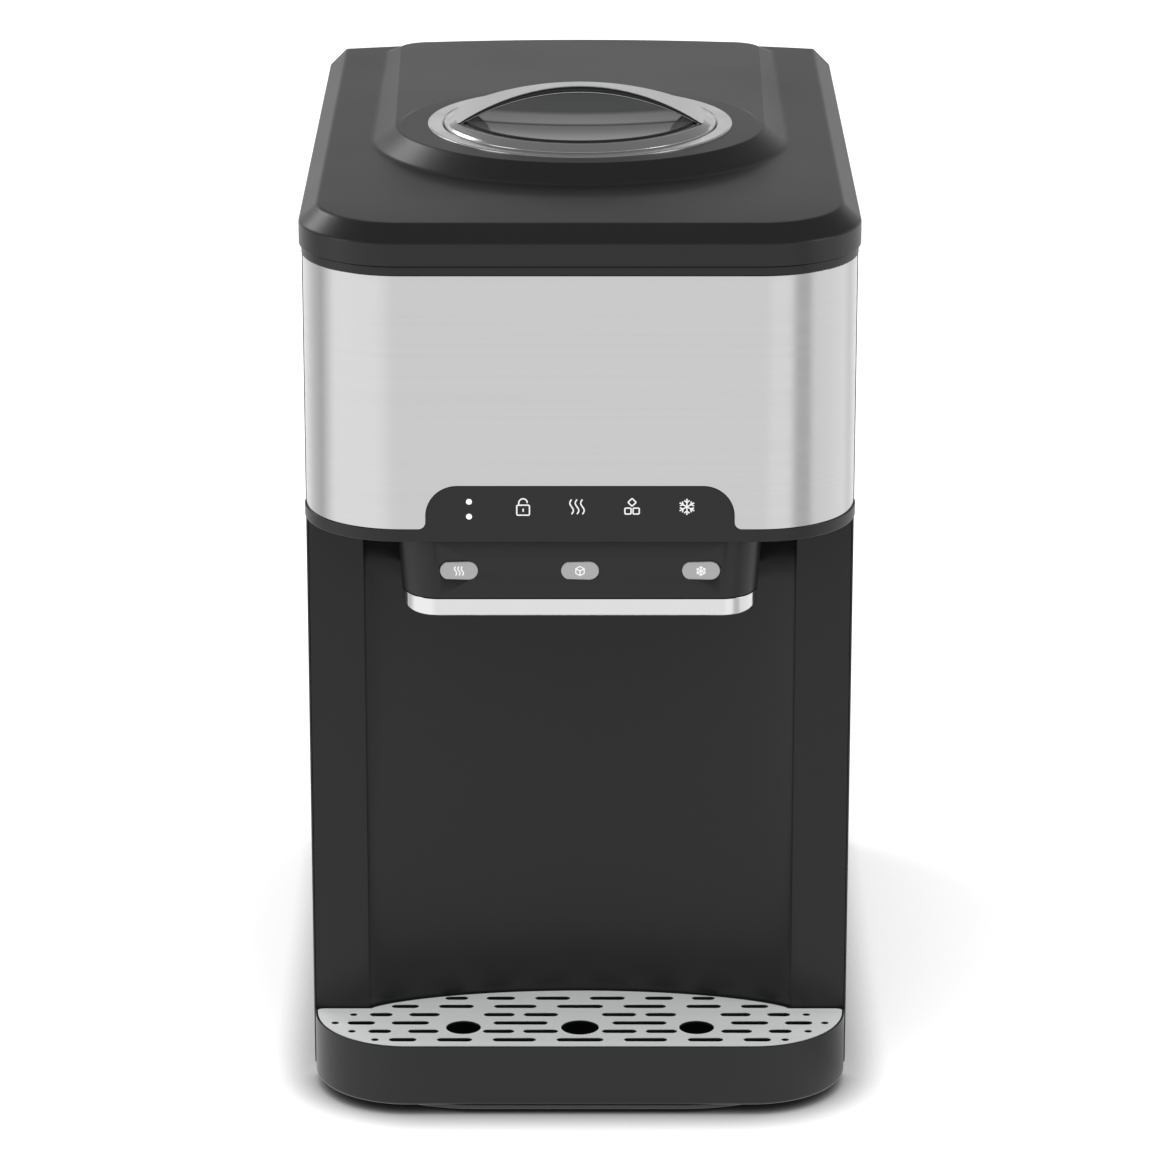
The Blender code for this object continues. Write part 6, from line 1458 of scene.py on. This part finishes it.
@dataclass
class DripTray:
    """The pull-out tray and the slotted plate on it."""

    half: float = 0.149
    height: float = 0.0354
    rim: float = 0.0010
    wall: float = 0.0022
    plate_t: float = 0.0015
    skin_t: float = 0.00035
    plate_corner: float = 0.004
    slot_height: float = 0.0057
    dot_r: float = 0.0022
    row_front: float = -0.2172
    row_pitch: float = 0.012

    @property
    def top(self) -> float:
        """The level of the tray's rim and of the plate."""
        return SIZE.stand_z + self.height

    def plan(self, inset: float) -> Ring:
        """The tray in plan: round front corners, and a rear that swells into the niche."""
        half, front = self.half - inset, SIZE.face + inset
        rear, swell = SIZE.column_y - SIZE.gap - inset, SIZE.niche_half - inset
        plan = Plan([(-half, front), (half, front), (half, rear), (swell, rear), (-swell, rear), (-half, rear)])
        plan.round_both((half, front), SIZE.corner_r - 0.001 - inset, 26)
        plan.curve((swell, rear), 63, lambda x: rear + SIZE.swell(x, swell) - SIZE.gap, eased=True)
        return plan.points((-half, rear))

    def build_tray(self) -> None:
        """Mould the tray."""
        low, top = SIZE.stand_z, self.top
        ledge = top - self.plate_t - SIZE.gap
        inner = self.rim + self.wall
        section = soften([
            (0.006, low, 0), (0.0, low, 0.0022), (0.0, top, 0.0004), (self.rim - 0.0001, top, 0.0002),
            (self.rim, ledge, 0.0001), (inner, ledge, 0.0004), (inner, low + self.wall, 0.003),
            (inner + 0.012, low + self.wall, 0),
        ], 5)
        rings = [level(self.plan(inset), height) for inset, height in section]
        publish_grown("tray_dish", Finish.SATIN_BLACK, rings, "drip_tray", Part.TRAY)

    def row(self, y: float, shares: Sequence[Pair], dot: float = 0.0, centre: float = 0.0) -> list[Ring]:
        """The outlines of one row of slots, the same on both sides.

        Args:
            y: the row's place.
            shares: where each slot starts and ends, as shares of the tray's half width.
            dot: where the small round hole is, or nought for none.
            centre: how far the middle slot reaches, or nought for none.

        Returns:
            The outlines.
        """
        rings = []
        if centre:
            rings.append(pill((0.0, y), 2 * centre * self.half, self.slot_height))
        for side in (-1, 1):
            for start, end in shares:
                middle = side * (start + end) / 2 * self.half
                rings.append(pill((middle, y), (end - start) * self.half, self.slot_height))
            if dot:
                rings.append(disc((side * dot * self.half, y), self.dot_r, 16))
        return rings

    def plate_plan(self) -> Ring:
        """The plate in plan, a little inside the tray's rim and with its rear corners rounded."""
        ring = self.plan(self.rim + SIZE.gap)
        shape = bmesh.new()
        shape.faces.new(drawn(shape, ring))
        rear = max(point.y for point in ring if abs(point.x) > SIZE.niche_half + 0.002)
        corners = [vert for vert in shape.verts if abs(vert.co.x) > self.half - 0.003 and vert.co.y > rear - 1e-5]
        bmesh.ops.bevel(
            shape, geom=corners, offset=self.plate_corner, offset_type="OFFSET", segments=8, profile=0.5,
            affect="VERTICES", material=-1, clamp_overlap=False,
        )
        shape.faces.ensure_lookup_table()
        points = [loop.vert.co.copy() for loop in shape.faces[0].loops]
        shape.free()
        return points

    def build_plate(self) -> None:
        """Punch the plate's steel skin and the black carrier under it."""
        wide = ((0.164, 0.326), (0.402, 0.535), (0.610, 0.714))
        split = ((0.082, 0.213), (0.246, 0.364), (0.529, 0.645), (0.707, 0.794))
        holes = ((0.121, 0.326), (0.567, 0.709), (0.770, 0.875))
        rear = ((0.037, 0.171), (0.246, 0.356), (0.425, 0.513))
        rows = [self.row_front + self.row_pitch * number for number in range(6)]
        rings = [self.plate_plan()]
        rings += self.row(rows[0], wide, 0.766, 0.088)
        rings += self.row(rows[4], wide, 0.0, 0.088)
        rings += self.row(rows[1], split, 0.855) + self.row(rows[3], split, 0.855)
        rings += self.row(rows[2], holes, 0.921) + self.row(rows[5], rear)
        for x, radius in ((-SIZE.outlet_x, 0.0098), (0.0, 0.0106), (SIZE.outlet_x, 0.0098)):
            rings.append(disc((x, SIZE.outlet_y), radius, 56))
        under, depth = self.top - self.skin_t, self.plate_t - self.skin_t
        layers = (
            ("slotted_plate", Finish.PLATE_STEEL, "drip_grille", self.top, self.skin_t),
            ("plate_carrier", Finish.SATIN_BLACK, "", under, depth),
        )
        for name, finish, stands_for, high, depth in layers:
            shape = perforated(rings[0], rings[1:])
            bmesh.ops.translate(shape, verts=shape.verts, vec=(0.0, 0.0, high))
            thicken(shape, Vector((0.0, 0.0, -depth)))
            publish(shape, name, finish, stands_for, Part.GRILLE)

    def build(self) -> None:
        """Build the tray and its plate."""
        self.build_tray()
        self.build_plate()


@dataclass
class Screw:
    """A pan-head screw with a cross recess drawn as painted shade, in a wall that faces the rear."""

    x: float
    y: float
    z: float
    radius: float = 0.0032
    height: float = 0.0014

    def build(self, name: str) -> None:
        """Turn the head, and set a dark cross through its top as the cross recess's painted shade."""
        rim, high, arm, wide = self.radius, self.height, self.radius * 0.52, self.radius * 0.13
        profile = soften([
            (0.0, high, 0), (rim * 0.7, high * 0.9, rim * 0.5), (rim, high * 0.3, rim * 0.1), (rim, -0.0004, 0),
            (0.0, -0.0004, 0),
        ], 4)
        publish_turned(name, Finish.FRAME_PAINT, profile, (self.x, self.y, self.z), Axis.REARWARD, 32)
        corners = [
            (arm, -wide), (arm, wide), (wide, wide), (wide, arm), (-wide, arm), (-wide, wide), (-arm, wide),
            (-arm, -wide), (-wide, -wide), (-wide, -arm), (wide, -arm), (wide, -wide),
        ]
        # The cross is a dark prism that stands a little proud of the head: painted shade where the recess would be.
        lift = high + 0.00004
        rings = []
        for depth in (0.0, lift - 0.0001, lift):
            rings.append([Vector((self.x + across, self.y + depth, self.z + up)) for across, up in corners])
        publish_grown(f"{name}_recess", Finish.DARK_RUBBER, rings)


@dataclass
class Casing:
    """The side and rear sheets, the base, the feet, and what passes through the rear."""

    side_x: float = 0.149
    steel_top: float = 0.4821
    sheet_corner: float = 0.006
    rear_t: float = 0.0012
    inlet: Pair = (0.110, 0.045)
    inlet_half: Pair = (0.024, 0.013)
    inlet_sink: float = 0.006
    drain: Pair = (-0.114, 0.045)
    drain_hole_r: float = 0.0068
    vent_rows: int = 8
    vent_low: float = 0.085
    vent_pitch: Pair = (0.064, 0.013)
    vent_size: Pair = (0.052, 0.005)
    base_corner: float = 0.090
    foot_x: float = 0.115
    foot_y: float = 0.184

    def build_sides(self) -> None:
        """Cut the two side sheets."""
        rear = SIZE.rear_y(SIZE.half) - self.rear_t - SIZE.gap
        low, high, front = SIZE.stand_z, self.steel_top, SIZE.column_y
        for name, x in (("left", -SIZE.half), ("right", self.side_x)):
            plan = Plan([(front, low), (rear, low), (rear, high), (front, high)])
            plan.round((front, low), self.sheet_corner, 10)
            shape = bmesh.new()
            shape.faces.new(drawn(shape, sideways(plan.points((front, high)), x)))
            thicken(shape, Vector((SIZE.half - self.side_x, 0.0, 0.0)))
            ease(shape, 0.0003, 2)
            publish(shape, f"{name}_sheet", Finish.SHEET_BLACK, f"{name}_side_panel")

    def build_rear(self) -> None:
        """Punch and bow the rear sheet, and form the pocket for the power inlet."""
        low, high, half = SIZE.stand_z, self.steel_top, SIZE.half
        sheet = Plan([(-half, low), (half, low), (half, high), (-half, high)]).points((-half, low))
        holes = [Plan(box(self.inlet, self.inlet_half)).points(self.inlet), disc(self.drain, self.drain_hole_r, 40)]
        for row in range(self.vent_rows):
            for column in (-1, 0, 1):
                place = (column * self.vent_pitch[0], self.vent_low + row * self.vent_pitch[1])
                holes.append(pill(place, *self.vent_size))
        shape = perforated(sheet, holes)
        bmesh.ops.rotate(shape, verts=shape.verts, cent=Vector(), matrix=Matrix.Rotation(math.pi / 2, 3, "X"))
        for step in range(1, 30):
            place = Vector((half * (step / 15 - 1), 0.0, 0.0))
            geom = shape.verts[:] + shape.edges[:] + shape.faces[:]
            bmesh.ops.bisect_plane(shape, geom=geom, plane_co=place, plane_no=Vector((1.0, 0.0, 0.0)), dist=1e-6)
        thicken(shape, Vector((0.0, -self.rear_t, 0.0)))
        ease(shape, 0.0002, 1)
        for vert in shape.verts:
            vert.co.y += SIZE.rear_y(vert.co.x)
        publish(shape, "rear_sheet", Finish.SHEET_BLACK, "rear_panel", sharp=30.0)
        self.build_pocket()

    def build_pocket(self) -> None:
        """Fold the pocket's four walls and its floor round the inlet."""
        floor = SIZE.rear_y(self.inlet[0]) - self.inlet_sink
        rings = []
        for grown, depth in ((0.0020, None), (0.0020, floor - 0.002), (-0.0093, floor - 0.002), (-0.0093, floor),
                             (0.0, floor), (0.0, None)):
            corners = box(self.inlet, (self.inlet_half[0] + grown, self.inlet_half[1] + grown * 0.7))
            plan, ring = Plan(corners), []
            for corner in corners:
                plan.round(corner, 0.001, 3)
            for point in plan.points(corners[0]):
                skin = SIZE.rear_y(point.x) - self.rear_t * 0.5
                ring.append(Vector((point.x, skin if depth is None else depth, point.y)))
            rings.append(ring)
        publish_grown("inlet_pocket", Finish.SHEET_BLACK, rings, tube=True)

    def build_inlet(self) -> None:
        """Dress the power inlet and give it three brass pins."""
        publish_eased("inlet_socket", Finish.SATIN_BLACK, "power_inlet", 0.0003)
        x, z = self.inlet
        face = SIZE.rear_y(x) - self.inlet_sink + SIZE.gap
        for number, (column, row) in enumerate(((-1, -1), (1, -1), (0, 1)), start=1):
            centre = (x + column * 0.00625, z + row * 0.0085 / 1.5)
            rings = []
            for inset, depth in ((0.0, -0.013), (0.0, -0.0006), (0.0005, 0.00012)):
                corners = box(centre, (0.00115 - inset, 0.00215 - inset))
                rings.append([Vector((across, face + depth, up)) for across, up in corners])
            publish_grown(f"inlet_pin_{number}", Finish.BRASS_PIN, rings)

    def build_drain(self) -> None:
        """Turn the drain tube and its ribbed cap."""
        x, z = self.drain
        skin = SIZE.rear_y(x)
        profile = soften([
            (0.0065, 0.0, 0.0004), (0.0065, -0.0105, 0), (0.0105, -0.0105, 0.0003), (0.0105, -0.0125, 0.0003),
            (0.0065, -0.0125, 0), (0.0065, -0.0240, 0.0003), (0.0042, -0.0240, 0.0003), (0.0042, 0.0, 0.0003),
        ], 3)
        tip = (x, skin + 0.0047, z)
        publish_turned("drain_tube", Finish.DRAIN_GREY, profile, tip, Axis.REARWARD, 48, True, "drain_port")
        start = SIZE.rear_y(abs(x) - 0.0105) - skin + SIZE.gap
        profile = soften([
            (0.0, 0.0070, 0), (0.0095, 0.0070, 0.0012), (0.0105, 0.0058, 0.0006), (0.0105, 0.0050, 0.0002),
            (0.0101, 0.0047, 0.0002), (0.0105, 0.0044, 0.0002), (0.0105, start, 0.0004), (0.0068, start, 0.0003),
            (0.0068, 0.0050, 0.0003), (0.0, 0.0050, 0),
        ], 4)
        publish_turned(
            "drain_plug_cap", Finish.DARK_RUBBER, profile, (x, skin, z), Axis.REARWARD, 64, False, "drain_cap",
            Part.DRAIN_PLUG,
        )

    def build_base(self) -> None:
        """Press the base plate with its rolled edge, and set four ribbed feet under it."""
        low, high, width = 0.003, 0.0056, 0.008
        rings = []
        for inset, height in soften([(width, low, 0), (0.0, low, 0.0008), (0.0, high, 0.0004), (width, high, 0)], 4):
            plan = body_plan(0.148 - inset, -0.2262 + inset, self.base_corner - inset, 0.006 + inset)
            rings.append(level(plan, height))
        publish_grown("base_pan", Finish.FRAME_PAINT, rings, "base_plate")
        profile = soften([
            (0.0, 0.0006, 0), (0.0070, 0.0006, 0.0003), (0.0074, 0.0, 0.0002), (0.0112, 0.0, 0.0006),
            (0.0118, 0.0010, 0.0003), (0.0114, 0.0013, 0.0002), (0.0119, 0.0016, 0.0002), (0.0119, 0.0027, 0),
            (0.0, 0.0027, 0),
        ], 4)
        places = [(x, y) for y in (-self.foot_y, self.foot_y) for x in (-self.foot_x, self.foot_x)]
        for number, (x, y) in enumerate(places, start=1):
            name = f"ribbed_foot_{number}"
            publish_turned(name, Finish.DARK_RUBBER, profile, (x, y, 0.0), steps=56, stands_for=f"foot_{number}")

    def build_screws(self) -> None:
        """Drive the screws that hold the rear sheet."""
        places = [(x, z) for z in (0.020, 0.250, 0.468) for x in (-0.138, 0.138)] + [(-0.045, 0.468), (0.045, 0.468)]
        for number, (x, z) in enumerate(places, start=1):
            Screw(x, SIZE.rear_y(x), z).build(f"rear_screw_{number}")

    def build(self) -> None:
        """Build the casing."""
        self.build_sides()
        self.build_rear()
        self.build_inlet()
        self.build_drain()
        self.build_base()
        self.build_screws()


@dataclass
class Works:
    """The pieces inside, which keep their CAD shapes and get their finishes."""

    def finishes(self) -> dict[Finish, tuple[str, ...]]:
        """Which inner pieces have which finish."""
        return {
            Finish.BOARD: ("button_board", "touch_board", "power_board"),
            Finish.NICHE_BLACK: ("front_housing", "fan_shroud", "fan_blades", "water_pump"),
            Finish.OUTLET_WHITE: ("ice_bucket", "ice_frame", "water_trough", "auger"),
            Finish.TANK_STEEL: ("cold_tank", "hot_tank", "auger_motor", "trough_motor", "fan_motor"),
            Finish.FRAME_PAINT: ("compressor", "rear_frame", "deck"),
            Finish.MILL_ALUMINIUM: ("condenser", "evaporator"),
            Finish.COPPER_TUBE: ("refrigerant_line",),
            Finish.HOSE: ("cold_hose", "hot_hose", "feed_hose", "fill_hose"),
            Finish.KEY_GREY: ("cold_valve", "hot_valve"),
        }

    def build(self) -> None:
        """Give each inner piece its finish."""
        for finish, nodes in self.finishes().items():
            for node in nodes:
                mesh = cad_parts[node].data
                mesh.materials.clear()
                mesh.materials.append(finish.material())
                log.info("%s: kept from the CAD, in %s", node, finish.value.name)


@dataclass
class Studio:
    """A pale floor, a soft sky and soft lamps."""

    floor_half: float = 12.0
    level: float = 0.50
    floor_lift: float = 0.28
    # Reach and steepness of the painted contact shadow on the floor.
    contact: float = 0.028
    contact_power: float = 1.5
    floor_glow: float = 1.16
    sky_tones: tuple[Pair, ...] = (
        (0.0, 0.74), (5.0, 0.72), (8.5, 0.54), (10.1, 0.54), (10.45, 0.16), (10.85, 0.16), (11.2, 0.84),
        (12.0, 0.98), (14.7, 1.0), (16.1, 0.32), (22.0, 0.29), (35.0, 0.24), (90.0, 0.20),
    )
    floor_tones: tuple[Pair, ...] = (
        (-180, 0.92), (-135, 0.86), (-112, 0.62), (-100, 0.52), (-88, 0.80), (-80, 1.00), (-30, 1.00),
        (-12, 0.86), (12, 0.86), (20, 0.94), (36, 0.94), (45, 0.56), (56, 0.54), (64, 0.82), (110, 0.95),
        (126, 0.76), (140, 0.86), (180, 0.92),
    )

    def ray(self, tree: Tree, kind: str) -> Socket:
        """A share that is one for one kind of ray."""
        return add(tree, "LightPath", {}).outputs[f"Is {kind} Ray"]

    def either(self, tree: Tree, kind: str, off: Union[float, Socket], on: Union[float, Socket]) -> Socket:
        """The second number for one kind of ray, and the first for the others."""
        return add(tree, "Mix", {0: self.ray(tree, kind), 2: off, 3: on}, data_type="FLOAT").outputs[0]

    def maths(self, tree: Tree, operation: str, first: Socket, second: Union[float, Socket]) -> Socket:
        """What an operation makes of two numbers."""
        return add(tree, "Math", {0: first, 1: second}, operation=operation).outputs[0]

    def ramp(self, tree: Tree, place: Socket, stops: Sequence[Pair]) -> Socket:
        """A grey that depends on a number.

        Args:
            tree: the node tree.
            place: the number, from nought to one.
            stops: each stop's place and tone.

        Returns:
            The grey.
        """
        node = add(tree, "ValToRGB", {"Fac": place})
        elements = node.color_ramp.elements
        elements.remove(elements[1])
        for number, (position, tone) in enumerate(stops):
            stop = elements.new(position) if number else elements[0]
            stop.position = position
            stop.color = (tone, tone, tone, 1.0)
        return node.outputs["Color"]

    def build_world(self) -> None:
        """Make a sky that is white to the camera, plain to matt faces, and fades upwards in reflections."""
        world = bpy.data.worlds.new("studio_sky")
        bpy.context.scene.world = world
        world.use_nodes = True
        world.cycles.sampling_method = "NONE"
        tree = world.node_tree
        direction = add(tree, "TexCoord", {}).outputs["Generated"]
        up = add(tree, "SeparateXYZ", {"Vector": direction}).outputs["Z"]
        tone = self.ramp(tree, up, [(math.sin(math.radians(angle)), tone) for angle, tone in self.sky_tones])
        strength = self.either(tree, "Camera", self.either(tree, "Glossy", self.level, tone), 1.0)
        feed(tree, tree.nodes["Background"], {"Strength": strength, "Color": (1.0, 1.0, 1.0, 1.0)})

    def build_floor(self) -> None:
        """Lay the floor, white to the camera but for the machine's shadow, partly real and partly painted: ambient
        occlusion darkens its colour and its glow near the machine.
        """
        shape = bmesh.new()
        bmesh.ops.create_grid(shape, x_segments=1, y_segments=1, size=self.floor_half)
        mesh = bpy.data.meshes.new("studio_floor")
        shape.to_mesh(mesh)
        shape.free()
        floor = bpy.data.objects.new("studio_floor", mesh)
        bpy.context.scene.collection.objects.link(floor)
        sheet = NodeSheet("floor_paper")
        # Painted contact shadow: the floor's colour and its camera glow are darkened by ambient occlusion near the
        # machine.
        near = add(sheet.tree, "AmbientOcclusion", {"Distance": self.contact}).outputs["AO"]
        contact = self.maths(sheet.tree, "POWER", near, self.contact_power)
        lift = self.maths(sheet.tree, "MULTIPLY", self.ray(sheet.tree, "Camera"), self.floor_lift)
        sheet.set({
            "Base Color": sheet.blend(contact, (0.0, 0.0, 0.0), (0.90, 0.90, 0.90)), "Roughness": 0.9,
            "Specular IOR Level": 0.0, "Emission Color": (1.0, 1.0, 1.0, 1.0),
            "Emission Strength": self.maths(sheet.tree, "MULTIPLY", lift, contact),
        })
        self.add_reflected_tones(sheet)
        mesh.materials.append(sheet.material)

    def add_reflected_tones(self, sheet: NodeSheet) -> None:
        """Make the floor that glossy pieces reflect a soft white with two darker sides, as a studio's flags do."""
        tree = sheet.tree
        split = add(tree, "SeparateXYZ", {"Vector": sheet.places}).outputs
        angle = self.maths(tree, "ARCTAN2", split["X"], self.maths(tree, "MULTIPLY", split["Y"], -1.0))
        place = sheet.ranged(angle, (-math.pi, math.pi), (0.0, 1.0))
        tone = self.ramp(tree, place, [(degrees / 360 + 0.5, tone) for degrees, tone in self.floor_tones])
        glow = add(tree, "Emission", {"Color": tone, "Strength": self.floor_glow})
        shaders = {0: self.ray(tree, "Glossy"), 1: sheet.shader.outputs[0], 2: glow.outputs[0]}
        mixed = add(tree, "MixShader", shaders).outputs[0]
        feed(tree, tree.nodes["Material Output"], {"Surface": mixed})

    def lamp(self, name: str, place: Vector, aim: Vector, size: Pair, power: float) -> None:
        """Hang a soft rectangular lamp.

        Args:
            name: the lamp's name.
            place: where it hangs.
            aim: the point it looks at.
            size: its width and height.
            power: its power in watts.
        """
        light = bpy.data.lights.new(name, "AREA")
        light.shape = "RECTANGLE"
        light.size, light.size_y = size
        light.energy = power
        lamp = bpy.data.objects.new(name, light)
        lamp.location = place
        lamp.rotation_euler = (aim - place).to_track_quat("-Z", "Y").to_euler()
        bpy.context.scene.collection.objects.link(lamp)

    def sun(self, name: str, toward: Vector, spread: float, strength: float) -> None:
        """Set a wide soft sun that is left out of reflections.

        Args:
            name: the sun's name.
            toward: the direction it stands in.
            spread: how wide it is, in degrees.
            strength: its irradiance.
        """
        light = bpy.data.lights.new(name, "SUN")
        light.angle = math.radians(spread)
        light.energy = strength
        sun = bpy.data.objects.new(name, light)
        sun.rotation_euler = toward.to_track_quat("Z", "Y").to_euler()
        sun.visible_glossy = False
        bpy.context.scene.collection.objects.link(sun)

    def build(self) -> None:
        """Set up the studio."""
        self.build_world()
        self.build_floor()
        middle = Vector((0.0, 0.0, 0.30))
        self.lamp("rear_lamp", Vector((-1.55, 1.45, 1.75)), Vector((0.0, 0.0, 0.5)), (0.7, 0.7), 10.0)
        self.sun("soft_sun", Vector((0.0, -0.47, 0.88)), 80.0, 1.95)
        self.lamp("left_lamp", Vector((-2.2, -0.9, 1.0)), middle, (0.9, 1.6), 8.0)
        self.lamp("right_lamp", Vector((2.2, -0.9, 1.0)), middle, (0.9, 1.6), 8.0)
        bpy.context.scene.view_settings.view_transform = "Standard"


@dataclass
class ViewPoint:
    """The camera, set where the photograph was taken from."""

    place: Triple = (0.0, -2.9106, 1.1852)
    pitch: float = 18.0
    lens: float = 162.62

    def build(self) -> None:
        """Make the camera and look through it."""
        camera = bpy.data.cameras.new("view_camera")
        camera.lens = self.lens
        camera.sensor_width = 36.0
        camera.clip_end = 50.0
        holder = bpy.data.objects.new("view_camera", camera)
        holder.location = self.place
        holder.rotation_euler = (math.radians(90 - self.pitch), 0.0, 0.0)
        bpy.context.scene.collection.objects.link(holder)
        bpy.context.scene.camera = holder


def main() -> None:
    """Build every sub-assembly, then the studio and the camera."""
    ViewPoint().build()
    Studio().build()
    signs = (
        ("unlock_sign", Sign.PADLOCK, -0.0305), ("warm_sign", Sign.HEAT, -0.0016),
        ("block_sign", Sign.BLOCKS, 0.0279), ("cool_sign", Sign.FLAKE, 0.0573),
    )
    panel = [Print(name, sign, (x, SIZE.face - SIZE.gap, 0.3548)) for name, sign, x in signs]
    for piece in (TopCover(), BottleSeat(), DustCover(), UpperBody(), *panel, DispenserHead(), Niche(),
                  DripTray(), Casing(), Works()):
        log.info("building %s", type(piece).__name__)
        piece.build()


if __name__ == "__main__":
    logging.basicConfig(level=logging.INFO, format="%(name)s: %(message)s")
    main()
